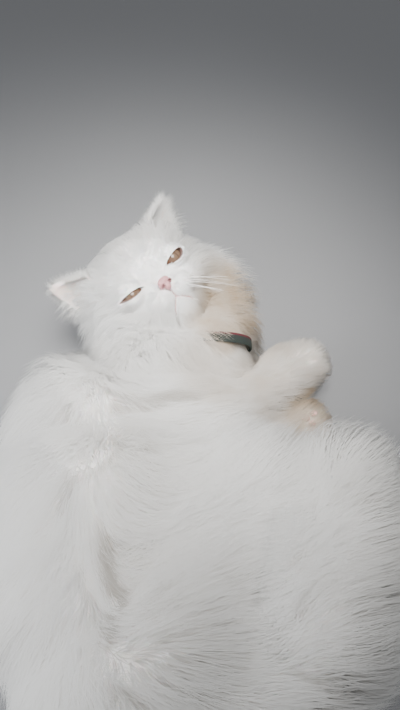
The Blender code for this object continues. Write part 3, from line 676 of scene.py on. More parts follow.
NOSE_PARTS = [  # (centre, radii)
    ((0.0, 0.0448, -0.0100), (0.0060, 0.0040, 0.0036)),  # pad
    ((0.0, 0.0450, -0.0150), (0.0030, 0.0038, 0.0042)),  # foot
    ((0.0038, 0.0448, -0.0126), (0.0030, 0.0040, 0.0027)),  # wing
]
NOSTRIL = (0.0040, 0.0484, -0.0132)
NOSTRIL_RADII = (0.0018, 0.0028, 0.0011)
NOSTRIL_SHADE = (0.0019, 0.0024, 0.0014)  # how far the painted shade in it reaches
NOSTRIL_SLANT = math.radians(35)
NOSTRIL_SET_BACK = np.array((0, 0.0012, 0))  # the middle of its painted shade, from its own
NOSE_VOXEL = 0.00035


def nose_shape(bm):
    for centre, radii in NOSE_PARTS:
        add_pair(bm, centre, radii)


def nostril_shape(side):
    def shape(bm):
        place = Matrix.Translation((side * NOSTRIL[0], *NOSTRIL[1:]))
        place = place @ Matrix.Rotation(side * NOSTRIL_SLANT, 4, "Y")
        place = place @ Matrix.Diagonal((*NOSTRIL_RADII, 1))
        bmesh.ops.create_icosphere(bm, subdivisions=3, radius=1, matrix=place)

    return shape


def nose_material():
    material, tree, shader = new_material("nose_finish", (0.70, 0.42, 0.40), 0.42)
    cloud = grain(tree, "TexNoise", 320.0)
    colour = blend(tree, cloud, (0.47, 0.20, 0.21), (0.59, 0.31, 0.32))
    # Painted shade inside and round the nostrils.
    colour = blend(tree, read_value(tree, "nostril"), colour, (0.09, 0.035, 0.035))
    cells = grain(tree, "TexVoronoi", 1500.0)
    finish(tree, shader, colour, cells, 0.00012, 0.6, Coat_Weight=0.25, Coat_Roughness=0.3)
    return material


def build_nose():
    nose = fuse(shaped("nose_pad", nose_shape), NOSE_VOXEL, 4)
    for side in (1, -1):
        combine(nose, "DIFFERENCE", shaped("nostril", nostril_shape(side)))
    local = vertex_array(nose.data)
    local[:, 0] = np.abs(local[:, 0])
    # The painted shade of the nostrils, greatest a little behind each one.
    away = (local - NOSTRIL + NOSTRIL_SET_BACK) / NOSTRIL_SHADE
    set_value(nose.data, "nostril", bell(length(away), 1.0))
    nose.data.transform(HEAD_MATRIX)
    dress(nose, nose_material(), "nose_skin", "nose")


build_nose()

# ---------------------------------------------------------------- ears
# Two pointed cups of thin skin, bare and pink inside, furred outside and along the rim. Each is
# a leaf with a smaller leaf cut out of its front, rooted in the mound of the ear.

EARS = {  # root, tip
    1: (Vector((0.0455, 0.0025, 0.0305)), Vector((0.0665, 0.0015, 0.0570))),
    -1: (Vector((-0.0465, 0.003, 0.0285)), Vector((-0.0705, 0.003, 0.0495))),
}
EAR_HALF_WIDTH = {1: 0.0200, -1: 0.0190}
EAR_HALF_DEPTH = 0.0100
EAR_SUNK = 0.55
EAR_POINT = 0.7
EAR_HOLLOW = (0.86, 0.0058, 0.96)  # size, shift forward and reach of the cup in the leaf
EAR_FLARE = math.radians(42)
EAR_VOXEL = 0.0006


def ear_frame(side):
    """Axes of one ear: across the cup, out through its mouth, and up to its tip."""
    base, tip = EARS[side]
    up = (tip - base).normalized()
    mouth = Vector((side * math.sin(EAR_FLARE), math.cos(EAR_FLARE), 0))
    mouth = (mouth - up * mouth.dot(up)).normalized()
    turn = Matrix((mouth.cross(up), mouth, up)).transposed()
    return base, turn, (tip - base).length


def ear_leaf(side, scale=1.0, forward=0.0, reach=1.0):
    """A pointed leaf, the outer form of the ear or, smaller and further forward, its hollow."""

    def shape(bm):
        base, turn, height = ear_frame(side)
        bmesh.ops.create_uvsphere(bm, u_segments=48, v_segments=32, radius=1)
        for vert in bm.verts:
            rise = (vert.co.z + EAR_SUNK) / (1 + EAR_SUNK)
            girth = vert.co.xy.length
            taper = scale * (1 - rise) ** EAR_POINT / girth if 1 > rise > 0 else scale
            flat = Vector((vert.co.x * EAR_HALF_WIDTH[side], vert.co.y * EAR_HALF_DEPTH, 0))
            vert.co = base + turn @ (flat * taper + Vector((0, forward, rise * height * reach)))

    return shape


def ear_measures(side, local):
    """How high places in the head's frame are on an ear, and how far across, as shares."""
    base, turn, height = ear_frame(side)
    local = (local - np.array(base)) @ np.array(turn)
    rise = np.clip(local[:, 2] / height, 0, 1)
    edge = np.clip((1 - rise) ** EAR_POINT, 0.05, 1) * EAR_HALF_WIDTH[side]
    return rise, local[:, 0] / edge


def ear_material():
    material, tree, shader = new_material("ear_finish", (0.8, 0.55, 0.48), 0.55)
    cloud = grain(tree, "TexNoise", 130.0, Detail=4.0)
    inside = blend(tree, cloud, (0.76, 0.60, 0.54), (0.84, 0.72, 0.66))
    colour = blend(tree, read_value(tree, "cup"), (0.82, 0.78, 0.75), inside)
    flesh = {"Subsurface_Weight": 0.2, "Subsurface_Scale": 0.003}
    finish(tree, shader, colour, cloud, 0.0006, 0.5, **flesh)
    return material


def build_ear(side, word, material):
    ear = shaped(f"ear_skin_{word}", ear_leaf(side))
    combine(ear, "DIFFERENCE", shaped("hollow", ear_leaf(side, *EAR_HOLLOW)))
    fuse(ear, EAR_VOXEL, 3)
    across = ear_measures(side, vertex_array(ear.data))[1]
    mouth = np.array(ear_frame(side)[1])[:, 1]
    cup = vertex_array(ear.data, "normal") @ mouth > 0.15
    inside = np.clip(1.25 * (1 - np.abs(across)) + 0.35, 0, 1)
    set_value(ear.data, "cup", cup * inside)
    ear.data.transform(HEAD_MATRIX)
    dress(ear, material, "ear_skin", f"ear_{word}")
    return ear


EAR_FINISH = ear_material()
ears = {side: build_ear(side, word, EAR_FINISH) for side, word in SIDES}

# ---------------------------------------------------------------- collar
# A narrow woven band, dark green with a crimson line along one edge. It goes once round the
# neck, lies in the ruff and is mostly hidden by it. It has no lead.

COLLAR = Vector((0.042, 0.134, 0.043))
COLLAR_RADII = (0.0640, 0.0375)
COLLAR_WIDTH = 0.009
COLLAR_THICKNESS = 0.0020
COLLAR_ROUNDING = 0.0007
COLLAR_THREADS = (520.0, 7000.0)  # round it and across it
RED_EDGE = (-0.0026, -0.0022)  # where across it the crimson ends and the green begins
COLLAR_TILT = math.radians(-2)
COLLAR_LEAN = math.radians(14)
COLLAR_ROLL = math.radians(-14)


def collar_place():
    turn = Matrix.Rotation(COLLAR_ROLL, 4, "Y") @ Matrix.Rotation(COLLAR_TILT, 4, "Z")
    upright = Matrix.Rotation(math.radians(90) + COLLAR_LEAN, 4, "X")
    return Matrix.Translation(COLLAR) @ turn @ upright


def collar_shape(bm):
    """A flat ribbon turned round the neck, flattened to its oval and rounded on its edges."""
    a, b = COLLAR_RADII
    half, outer = COLLAR_WIDTH / 2, a + COLLAR_THICKNESS
    profile = ((a, -half), (outer, -half), (outer, half), (a, half))
    corners = [bm.verts.new((radius, 0, height)) for radius, height in profile]
    sides = [bm.edges.new(pair) for pair in zip(corners, corners[1:] + corners[:1])]
    ring = {"axis": (0, 0, 1), "angle": math.tau, "steps": 96, "use_merge": True}
    bmesh.ops.spin(bm, geom=corners + sides, **ring)
    bmesh.ops.remove_doubles(bm, verts=bm.verts, dist=1e-6)
    bmesh.ops.recalc_face_normals(bm, faces=bm.faces)
    edges = [e for e in bm.edges if abs(e.verts[0].co.z - e.verts[1].co.z) < 1e-6]
    rims = [e for e in edges if e.calc_face_angle(0) > 1.2]
    rounding = {"offset": COLLAR_ROUNDING, "segments": 3, "profile": 0.5}
    bmesh.ops.bevel(bm, geom=rims, affect="EDGES", material=-1, **rounding)
    bmesh.ops.scale(bm, vec=(1, b / a, 1), verts=bm.verts)


def collar_material():
    material, tree, shader = new_material("collar_finish", (0.05, 0.07, 0.06), 0.8)
    band = read_value(tree, "band", "Vector")
    round_it, height = (add_node(tree, "SeparateXYZ", {0: band}, axis) for axis in "XY")

    def threads(source, turns, phase):
        return calculate(tree, "SINE", calculate(tree, "MULTIPLY_ADD", source, turns, phase))

    warp = threads(round_it, COLLAR_THREADS[0], 0.0)
    weft = threads(height, COLLAR_THREADS[1], 0.4)
    ridge = remap(tree, calculate(tree, "MULTIPLY", warp, weft), -1.0, 1.0)
    green = blend(tree, ridge, (0.006, 0.011, 0.009), (0.020, 0.029, 0.024))
    red = blend(tree, ridge, (0.05, 0.005, 0.009), (0.12, 0.012, 0.020))
    colour = blend(tree, remap(tree, height, *RED_EDGE), red, green)
    finish(tree, shader, colour, ridge, 0.0003, 0.8)
    return material


def build_collar():
    collar = shaped("collar_band", collar_shape)
    local = vertex_array(collar.data)
    angle = np.arctan2(local[:, 1] / COLLAR_RADII[1], local[:, 0] / COLLAR_RADII[0])
    band = np.stack([np.abs(angle) / math.pi, local[:, 2], 0 * angle], axis=1)
    set_value(collar.data, "band", band, "FLOAT_VECTOR", "vector")
    collar.data.transform(collar_place())
    dress(collar, collar_material(), "collar_band", "collar")


build_collar()

# ---------------------------------------------------------------- toe pads
# Three small pads of pink, pebbled leather under the toes of the tucked forepaw. They peep out
# of its fur.

TOE_PADS = [  # (place, radii)
    ((0.1520, 0.0700, 0.0352), (0.0040, 0.0034, 0.0030)),
    ((0.1600, 0.0740, 0.0350), (0.0034, 0.0030, 0.0028)),
    ((0.1575, 0.0650, 0.0352), (0.0030, 0.0028, 0.0026)),
]


def pad_shape(bm):
    for centre, radii in TOE_PADS:
        add_ball(bm, centre, radii)


def pad_material():
    material, tree, shader = new_material("pad_finish", (0.62, 0.34, 0.31), 0.6)
    cells = grain(tree, "TexVoronoi", 1300.0)
    colour = blend(tree, cells, (0.60, 0.33, 0.30), (0.72, 0.48, 0.44))
    finish(tree, shader, colour, cells, 0.0002, 0.5)
    return material


dress(shaped("toe_pads", pad_shape), pad_material(), "nose_skin")

# ---------------------------------------------------------------- the lie of the coat
# The hair grows back from the nose, down neck and trunk, and out along the legs and the tail.
# Its tips end near one smooth outer form, the coat's envelope, which fills the hollows between
# the limbs. Where two parts meet, the lie and the length pass smoothly over.

FACE = np.array((0.020, 0.185, 0.085))
NOSE_TIP = np.array((0.0, 0.050, -0.010))
FACE_DOWN = np.array((0.684, -0.142, -0.715))  # in the head's frame, from the face to the throat
HIP = np.array((0.020, -0.118, 0.092))
BLEND_FLESH = 0.004  # how softly the masses of one part run together
BLEND_COAT = 0.013  # and the coats of neighbouring parts


def unit(vectors):
    return vectors / np.maximum(length(vectors)[..., None], 1e-9)


def smooth(values, low, high):
    share = np.clip((values - low) / (high - low), 0, 1)
    return share * share * (3 - 2 * share)


def between(share, first, second):
    share = share[:, None]
    return np.array(first) * (1 - share) + np.array(second) * share


def ball_distance(places, centre, radii):
    """Roughly how far places are from an ellipsoid, and the way out of it."""
    offset = (places - np.array(centre)) / np.array(radii)
    slope = offset / np.array(radii)
    size, steep = length(offset), np.maximum(length(slope), 1e-9)
    return size * (size - 1) / steep, slope / steep[:, None]


def limb_distance(places, first, second):
    """How far places are from a rounded cone, the way out of it, and how far along it."""
    (start, thick), (end, thin) = first, second
    start, along = np.array(start), np.subtract(end, start)
    share = np.clip((places - start) @ along / (along @ along), 0, 1)
    offset = places - start - share[:, None] * along
    size = np.maximum(length(offset), 1e-9)
    return size - (thick + (thin - thick) * share), offset / size[:, None], share


def lie_of_trunk(places):
    """From the spine back and down both flanks, turning to the tail over the rump."""
    x, y = places[:, 0], places[:, 1]
    flank = between(smooth(x, -0.038, 0.050), (-0.05, -1.0, 0.0), (0.95, -0.45, 0.0))
    flank = flank + between(smooth(-y, 0.06, 0.14), (0, 0, 0), (0.7, 0.25, 0.0))
    back = between(smooth(y, 0.0, 0.09), (-0.50, -0.80, -0.3), (-0.75, -0.45, -0.2))
    side = smooth(-x, 0.000, 0.090)[:, None]
    return unit(flank) * (1 - side) + unit(back) * side


def lie_of_ruff(places):
    away = unit((places - FACE) * (1, 1, 0.4)) + (0.1, -0.5, -0.2)
    return away + smooth(places[:, 0], 0.035, 0.085)[:, None] * (1.3, 0.45, 0.0)


def lie_of_thigh(places):
    """Away from the hip: up over the knee, and out along the shank."""
    return unit((places - HIP) * (1, 1, 0.3)) + (0.35, 0.15, 0.0)


def lie_of_tail(places):
    """Outwards from the middle of the curled cat, and a little along the tail."""
    along = np.zeros_like(places)
    for first, second in zip(LIMBS["tail"], LIMBS["tail"][1:]):
        away = limb_distance(places, first, second)[0]
        along += np.exp(-away / 0.01)[:, None] * unit(np.subtract(second[0], first[0]))
    return unit(lie_of_thigh(places)) + unit(along) * 0.20


def lie_of_head(places):
    return unit(to_head(places) - NOSE_TIP) @ HEAD_TURN.T


def lie_of_leg(name):
    joints = LIMBS[name]
    along = unit(np.subtract(joints[-1][0], joints[0][0])) + (0, 0, -0.25)
    return lambda places: np.broadcast_to(along, places.shape)


# Each part's coat: the lie, then at the body's and the far end of a limb the depth, the length
# and the width of a tuft. The head has its own measures.
COATS = {
    "torso": (lie_of_trunk, (0.031, 0.031), (0.056, 0.056), (0.00050, 0.00050)),
    "neck": (lie_of_ruff, (0.030, 0.030), (0.052, 0.052), (0.00050, 0.00050)),
    "head": (lie_of_head,),
    "foreleg_right": (lie_of_leg("foreleg_right"), (0.014, 0.0055), (0.028, 0.012), (0.0005, 0.00036)),
    "foreleg_left": (lie_of_leg("foreleg_left"), (0.010, 0.004), (0.022, 0.009), (0.00055, 0.00036)),
    "hindleg_right": (lie_of_thigh, (0.026, 0.014), (0.050, 0.030), (0.00050, 0.00050)),
    "hindleg_left": (lie_of_leg("hindleg_left"), (0.020, 0.006), (0.036, 0.012), (0.0006, 0.0005)),
    "tail": (lie_of_tail, (0.026, 0.034), (0.056, 0.060), (0.00050, 0.00050)),
}
PARTS = list(COATS)


def head_coat(places):
    """The depth, length and width on the head: least at nose and eyes, most on the cheeks."""
    local = to_head(places)
    from_nose, right, up = length(local - NOSE_TIP), local[:, 0], local[:, 2]
    hair = 0.0026 + 0.0120 * smooth(from_nose, 0.020, 0.064)
    depth = 0.0008 + 0.0065 * smooth(from_nose, 0.026, 0.060)
    depth -= 0.0030 * smooth(up + 0.5 * right, 0.020, 0.045)
    low = smooth(-up, -0.014, 0.022) * smooth(np.abs(right), 0.018, 0.040)
    low = np.maximum(low, 0.8 * smooth(-right, 0.030, 0.048) * smooth(-up, -0.04, 0))
    under = smooth(local @ FACE_DOWN, 0.020, 0.034)
    long = np.maximum(low * smooth(-local[:, 1], -0.034, -0.004), under)
    hair += 0.024 * long
    depth += 0.010 * long
    return depth, hair, 0.00034 + 0.00020 * smooth(hair, 0.004, 0.022)


def melted(away, softness):
    """One distance from many that runs smoothly from each to the next, and their shares."""
    shares = np.exp(-(away - away.min(0)) / softness)
    return away.min(0) - softness * np.log(shares.sum(0)), shares / shares.sum(0)


def part_fields(places):
    """For each part: the distance to its envelope, the way out, and its coat's measures."""
    rows = {name: [] for name in PARTS}
    for name, masses in (("torso", TRUNK), ("neck", NECK)):
        rows[name] = [(*ball_distance(places, *mass), 0.0) for mass in masses]
    local = to_head(places)
    for (x, y, z), radii in HEAD:
        for side in (1, -1) if x else (1,):
            away, out = ball_distance(local, (side * x, y, z), radii)
            rows["head"].append((away, out @ HEAD_TURN.T, 0.0))
    for name, joints in LIMBS.items():
        for number, (first, second) in enumerate(zip(joints, joints[1:])):
            away, out, share = limb_distance(places, first, second)
            rows[name].append((away, out, (number + share) / (len(joints) - 1)))
    for name, found in rows.items():
        flesh, shares = melted(np.stack([row[0] for row in found]), BLEND_FLESH)
        out = sum(share[:, None] * row[1] for share, row in zip(shares, found))
        far = sum(share * row[2] for share, row in zip(shares, found))
        if name == "head":
            measures = head_coat(places)
        else:
            measures = [near + (end - near) * far**1.5 for near, end in COATS[name][1:]]
        yield name, flesh - measures[0], unit(out), measures


PARTINGS = [  # (line over the back, how far the coat sinks or rises there, half width)
    ([(-0.007, 0.053), (0.017, 0.054), (0.041, 0.060), (0.058, 0.064)], 0.013, 0.0057),
    ([(-0.037, 0.048), (-0.036, 0.032)], 0.011, 0.0034),
    ([(-0.030, -0.030), (-0.0235, -0.012), (-0.0055, -0.0015), (0.003, 0.019)], 0.010, 0.0046),
    ([(0.007, 0.005), (0.028, 0.016), (0.049, 0.019), (0.072, 0.024)], 0.006, 0.0046),
    ([(0.014, -0.006), (0.034, 0.001), (0.060, 0.004)], 0.005, 0.0034),
    ([(0.022, 0.026), (0.021, 0.016)], 0.010, 0.0032),
    ([(0.001, -0.046), (0.0024, -0.057), (0.006, -0.077)], 0.016, 0.0041),
    ([(0.013, -0.078), (0.014, -0.085), (0.0105, -0.0925), (0.0064, -0.1066)], 0.013, 0.0041),
    ([(-0.013, -0.065), (-0.010, -0.076), (-0.005, -0.084), (-0.004, -0.094)], 0.008, 0.0034),
    ([(0.014, -0.1116), (0.027, -0.114), (0.040, -0.104)], 0.010, 0.0039),
    ([(0.012, -0.127), (0.020, -0.129), (0.030, -0.137)], 0.010, 0.0039),
    ([(0.1125, -0.118), (0.126, -0.125), (0.138, -0.133)], 0.011, 0.0039),
    ([(0.073, -0.064), (0.079, -0.073), (0.084, -0.080)], 0.008, 0.0052),
    ([(0.094, -0.058), (0.095, -0.080)], 0.006, 0.0040),
    ([(0.110, 0.012), (0.114, -0.004), (0.116, -0.018)], 0.006, 0.0040),
    (
        [(0.146, 0.014), (0.143, -0.006), (0.133, -0.034), (0.124, -0.064), (0.113, -0.090)],
        -0.009,
        0.011,
    ),
]
COLLAR_GAP = (np.array((0.0980, 0.1400, 0.0650)), 0.011, 0.012)  # place, half width, depth
PARTING_HEIGHT = 0.075  # only the coat above this parts
FULLY_PARTED = 0.011  # the sinking of the coat by which the painted shade in its partings is measured


def partings(places):
    """How far the coat sinks at its partings, and the way that the hair turns from them."""
    sink, turn = np.zeros(len(places)), np.zeros_like(places)
    for line, depth, width in PARTINGS:
        offset = off_line(places[:, :2], line)
        away = length(offset)
        sink += bell(away, width) * depth
        share = 0.30 * bell(away, 2.2 * width) * np.clip(depth / 0.008, 0, 1)
        share *= smooth(away, 0, width) / np.maximum(away, 1e-6)
        turn[:, :2] += offset * share[:, None]
    high = smooth(places[:, 2], PARTING_HEIGHT, PARTING_HEIGHT + 0.02)
    return sink * high, turn * high[:, None]


# How far the coat parts at each place, which the painted parting shade reads.
def mark_partings(mesh, places):
    set_value(mesh, "parted", partings(places)[0] / FULLY_PARTED)


mark_partings(skin.data, skin_places)


def coat_field(places, relief=None):
    """How far places are from the envelope, the way out, the lie, the coat's measures and each
    part's share. The relief, where given, draws the envelope to the form of the solids."""
    found = list(part_fields(places))
    away = np.stack([row[1] for row in found])
    from_nose = length(to_head(places) - NOSE_TIP)
    others = np.array([name != "head" for name in PARTS])[:, None]
    away += others * 0.05 * (1 - smooth(from_nose, 0.028, 0.048))
    envelope, shares = melted(away, BLEND_COAT)
    if relief is not None:
        off_head = away[PARTS.index("head")]
        off_face = np.maximum(smooth(off_head, 0.003, 0.016), smooth(from_nose, 0.052, 0.085))
        envelope = envelope - relief(places) * off_face
    each = list(zip(shares, found))
    out = unit(sum(share[:, None] * row[2] for share, row in each))
    lie = sum(share[:, None] * unit(COATS[row[0]][0](places)) for share, row in each)
    sink, turn = partings(places)
    centre, width, depth = COLLAR_GAP
    sink = sink + depth * bell(length(places - centre), width)
    sizes = [sum(share * row[3][k] for share, row in each) for k in range(3)]
    return envelope + sink, out, lie + turn, sizes, dict(zip(PARTS, shares))


RELIEF_STEP = 0.005
RELIEF_BLUR = 2.2  # in steps
RELIEF_MARGIN = 0.04
RELIEF_LIMITS = (-0.034, 0.014)
THROAT = [(0.008, 0.122, 0.095), (0.045, 0.120, 0.090), (0.066, 0.124, 0.085)]
THROAT_HOLLOW = (0.016, 0.036)  # depth and half width
SHOULDER_CORNER = (-0.087, 0.094, 0.072)
SHOULDER_HOLLOW = (0.014, 0.032)
PAW_REACH = (0.016, 0.046)  # how far from a paw the relief begins and is full
SOLIDS = ("torso", "neck", "head", "tail", *(name for name in LIMBS if name != "tail"))


def near_throat(places):
    """1 under the chin and the cheeks, where the ruff lies low, and 0 away from there."""
    return 1 - smooth(length(off_line(places, THROAT)), 0.030, 0.065)


def distance_to_paws(places):
    """How far places are from the lines of the two wrists and paws, where the coat is thin."""
    lines = ([place for place, _ in LIMBS[name][-2:]] for name in ("foreleg_right", "foreleg_left"))
    return np.minimum(*(length(off_line(places, line)) for line in lines))


def crossed(corners):
    """The way out of each triangle, as long as twice its area."""
    return np.cross(corners[:, 1] - corners[:, 0], corners[:, 2] - corners[:, 0])


def triangle_rows(mesh, name):
    mesh.calc_loop_triangles()
    return read_rows(mesh.loop_triangles, name, 3, np.int32)


def outside_of_solids():
    """Places all over the outside of the solids, with the area that each stands for."""
    meshes = [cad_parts[name].data for name in SOLIDS]
    corners = [vertex_array(mesh)[triangle_rows(mesh, "vertices")] for mesh in meshes]
    corners = np.concatenate(corners)
    faces = [(i, i + 1, i + 2) for i in range(0, len(corners) * 3, 3)]
    tree = BVHTree.FromPolygons([Vector(place) for place in corners.reshape(-1, 3)], faces)
    middles, ways = corners.mean(axis=1), crossed(corners)
    open_air = [
        tree.ray_cast(Vector(middle + way * 2e-4), Vector(way), 0.02)[0] is None
        for middle, way in zip(middles, unit(ways))
    ]
    chosen = np.array(open_air) & (middles[:, 2] > 0.004)
    return middles[chosen], length(ways)[chosen] / 2


def blurred(values):
    """A grid of values, softened along each of its axes."""
    kernel = np.exp(-0.5 * (np.arange(-6, 7) / RELIEF_BLUR) ** 2)
    for axis in range(3):
        values = np.apply_along_axis(lambda row: np.convolve(row, kernel, "same"), axis, values)
    return values


def solids_relief():
    """How far the solids' outside stands off the smooth envelope, as a function of place."""
    places, area = outside_of_solids()
    off = coat_field(places)[0]
    reach = 0.009 + 0.020 * near_throat(places)
    area = area * np.exp(np.clip(off, -0.03, 0.03) / reach)  # the highest of them count most
    low = np.array(cad_box[0]) - RELIEF_MARGIN
    steps = (np.array(cad_box[1]) + RELIEF_MARGIN - low) / RELIEF_STEP
    shape = tuple(np.ceil(steps).astype(int) + 1)
    weight, total = np.zeros(shape), np.zeros(shape)
    cell = tuple(np.round((places - low) / RELIEF_STEP).astype(int).T)
    np.add.at(weight, cell, area)
    np.add.at(total, cell, area * off)
    grid = np.clip(blurred(total) / (blurred(weight) + 1e-9), *RELIEF_LIMITS)

    def relief(where):
        place = np.clip((where - low) / RELIEF_STEP, 0, np.array(shape) - 1.001)
        corner = place.astype(int)
        share = place - corner
        value = 0
        for step in np.ndindex(2, 2, 2):
            part = np.prod(np.where(step, share, 1 - share), axis=1)
            value = value + part * grid[tuple((corner + step).T)]
        value = value * smooth(distance_to_paws(where), *PAW_REACH)
        (throat, wide), (shoulder, broad) = THROAT_HOLLOW, SHOULDER_HOLLOW
        hollow = throat * bell(length(off_line(where, THROAT)), wide)
        hollow += shoulder * bell(length(where - SHOULDER_CORNER), broad)
        return np.maximum(value, -0.004 - 0.030 * near_throat(where)) + 0.003 - hollow

    return relief


RELIEF = solids_relief()

# ---------------------------------------------------------------- tufts
# A tuft is a few hairs that cling together: a thin closed blade of three sides that bends with
# the coat and runs out to a point.

LONG_TUFT = ((0.0, 0.30, 0.64, 1.0), (0.8, 1.0, 0.75))  # its knots along it, and its girth there
SHORT_TUFT = ((0.0, 0.45, 1.0), (0.9, 0.8))
FLOOR_CLEARANCE = 0.0006
LEAST_RISE = 0.006  # of a long tuft's tip over its root
ROOT_DEPTH = 0.0006
PATCH = 0.003  # each tuft's share of the flat pattern
SOFTNESS = 0.975  # how much a tuft's faces are shaded as the coat's whole form


def sway(places, size, seed):
    """A slow waver over the body, between -1 and 1, from a few crossing waves."""
    draw = np.random.default_rng(seed)
    total = np.zeros(len(places))
    for _ in range(4):
        way = draw.normal(size=3)
        way *= 2 * math.pi / size * draw.uniform(0.6, 1.4) / np.linalg.norm(way)
        total += np.sin(places @ way + draw.uniform(0, 2 * math.pi))
    return total / 4


def laid(vectors, out, angles):
    """Vectors laid flat on the surface with the way out given, and turned about it."""
    flat = unit(vectors - out * (vectors * out).sum(1, keepdims=True))
    return flat * np.cos(angles)[:, None] + np.cross(out, flat) * np.sin(angles)[:, None]


def grow(roots, points, draw):
    """The spine of each tuft, from its root in the skin to its tip near the envelope."""
    envelope, out, lie, (_, reach, width), near = coat_field(roots, RELIEF)
    at_paw = (near["foreleg_right"] + near["foreleg_left"]) * (unit(lie) * out).sum(1)
    reach = reach * (1 - 0.6 * smooth(at_paw, 0.2, 0.8))
    reach = np.maximum(reach, -1.5 * envelope) * draw.uniform(0.75, 1.12, len(roots))
    short = draw.uniform(0, 1, len(roots)) ** 2 * 0.40 - 0.03 + 0.07 * sway(roots, 0.03, 7)
    start = envelope
    tip = np.maximum(start * np.clip(short, -0.08, 0.8), start + LEAST_RISE)
    lean = 0.40 * sway(roots, 0.09, 5) + 0.22 * sway(roots, 0.03, 6)
    lean += draw.normal(0, 0.09, len(roots))
    spine, outs, place = [roots - out * ROOT_DEPTH], [out], roots
    for low, high in zip(points[:-1], points[1:]):
        aim = tip + (start - tip) * (1 - high) ** 1.7
        step = (high - low) * reach
        climb = np.clip((aim - envelope) / step, -0.5, 0.96)[:, None]
        way = laid(lie, out, lean) * np.sqrt(1 - climb**2) + out * climb
        place = place + way * step[:, None]
        envelope, out, lie, _, _ = coat_field(place, RELIEF)
        spine.append(place)
        outs.append(out)
    return np.stack(spine, axis=1), np.stack(outs, axis=1), width


def lay(roots, normals, points, draw):
    """The spines of short hair that lies close to the skin and follows it."""
    _, _, lie, (depth, reach, width), _ = coat_field(roots)
    reach = reach * draw.uniform(0.7, 1.15, len(roots))
    depth = depth * draw.uniform(0.5, 1.1, len(roots))
    lean = 0.25 * sway(roots, 0.03, 6) + draw.normal(0, 0.10, len(roots))
    ahead = laid(lie, normals, lean) * reach[:, None]
    spine = []
    for share in points:
        height = depth * (1 - (1 - share) ** 2) - 0.5 * ROOT_DEPTH
        spine.append(roots + ahead * share + normals * height[:, None])
    return np.stack(spine, axis=1), np.repeat(normals[:, None], len(points), axis=1), width


def gather(spines, points, leaders, strength, draw):
    """Draws each tuft towards the nearest leader's, most at the tip, so that locks form."""
    tree = KDTree(leaders)
    for leader in range(leaders):
        tree.insert(spines[leader, 0], leader)
    tree.balance()
    own = np.array([tree.find(root)[1] for root in spines[:, 0]])
    pull = (np.array(points) ** 1.3)[None, :, None] * strength
    pull = pull * draw.uniform(0.4, 1.2, (len(spines), 1, 1))
    return spines + (spines[own] - spines) * np.clip(pull, 0, 0.95)


def wave(spines, points, amount, draw):
    """A light wave across each tuft."""
    ahead = unit(spines[:, -1] - spines[:, 0])
    side = unit(np.cross(ahead, draw.normal(size=ahead.shape)))
    phase = sway(spines[:, 0], 0.02, 9) * 3 + draw.normal(0, 0.5, len(spines))
    reach = np.array(points)
    swing = np.sin(phase[:, None] + reach * 5.0) * reach * amount
    return spines + side[:, None, :] * swing[:, :, None]


def keep_above_floor(spines, draw):
    lowest = FLOOR_CLEARANCE + draw.uniform(0, 0.006, (len(spines), 1))
    spines[:, :, 2] = np.maximum(spines[:, :, 2], lowest)


def blade_faces(rings):
    """The triangles of one blade, from its foot up its three sides to its point."""
    faces = [(0, 1, 2)]
    for corner in range(3):
        following = (corner + 1) % 3
        for base in range(0, 3 * (rings - 1), 3):
            a, b = base + corner, base + following
            faces += [(a, b + 3, b), (a, a + 3, b + 3)]
        base = 3 * (rings - 1)
        faces.append((base + corner, 3 * rings, base + following))
    return np.array(faces)


def tuft_mesh(name, spines, outs, widths, girth, patches, softness=SOFTNESS, paled=0.0):
    """One joined mesh of all the tufts, each a blade of three sides round its spine. No place
    on them counts as nearer to the root than paled, which keeps painted root shade off short hair."""
    count, rings = len(spines), spines.shape[1] - 1
    corners = 3 * rings + 1
    ahead = unit(np.gradient(spines, axis=1))
    side = unit(np.cross(ahead, outs))
    over = np.cross(side, ahead)
    places, normals = np.empty((2, count, corners, 3))
    for ring in range(rings):
        reach = (widths * girth[ring] * 0.5)[:, None]
        for corner in range(3):
            angle = 2 * math.pi * corner / 3 + math.pi / 2
            own = side[:, ring] * math.cos(angle) + over[:, ring] * math.sin(angle)
            places[:, 3 * ring + corner] = spines[:, ring] + own * reach
            normals[:, 3 * ring + corner] = own * (1 - softness) + outs[:, ring] * softness
    places[:, -1] = spines[:, -1]
    normals[:, -1] = outs[:, -1]
    indices = blade_faces(rings)[None] + (np.arange(count) * corners)[:, None, None]
    mesh = bpy.data.meshes.new(name)
    mesh.vertices.add(count * corners)
    mesh.vertices.foreach_set("co", places.astype(np.float32).ravel())
    mesh.loops.add(indices.size)
    mesh.loops.foreach_set("vertex_index", indices.astype(np.int32).ravel())
    mesh.polygons.add(indices.size // 3)
    mesh.polygons.foreach_set("loop_start", np.arange(0, indices.size, 3, dtype=np.int32))
    mesh.update(calc_edges=True)
    along = np.append(np.repeat(np.arange(rings) / rings, 3), 1.0)
    set_value(mesh, "along", np.tile(np.maximum(along, paled), count))
    mark_partings(mesh, places.reshape(-1, 3))
    across = np.append(np.tile((0.0, 0.5, 1.0), rings), 0.5)
    patch = np.stack([across - 0.5, along - 0.5], axis=1) * PATCH
    uv = (patches[:, None, :] + patch[None]).reshape(-1, 2)[indices.ravel()]
    layer = mesh.uv_layers.new(name="OFBake")
    layer.uv.foreach_set("vector", np.clip(uv, 0, 1).astype(np.float32).ravel())
    mesh.normals_split_custom_set_from_vertices(unit(normals).reshape(-1, 3))
    return mesh


def unwrap(obj):
    """A flat pattern of the skin's own shape."""
    bpy.context.view_layer.objects.active = obj
    for other in bpy.context.selected_objects:
        other.select_set(False)
    obj.select_set(True)
    obj.data.uv_layers.new(name="OFBake")
    bpy.ops.object.mode_set(mode="EDIT")
    bpy.ops.mesh.select_all(action="SELECT")
    bpy.ops.uv.smart_project(angle_limit=math.radians(66), island_margin=0.002)
    bpy.ops.object.mode_set(mode="OBJECT")


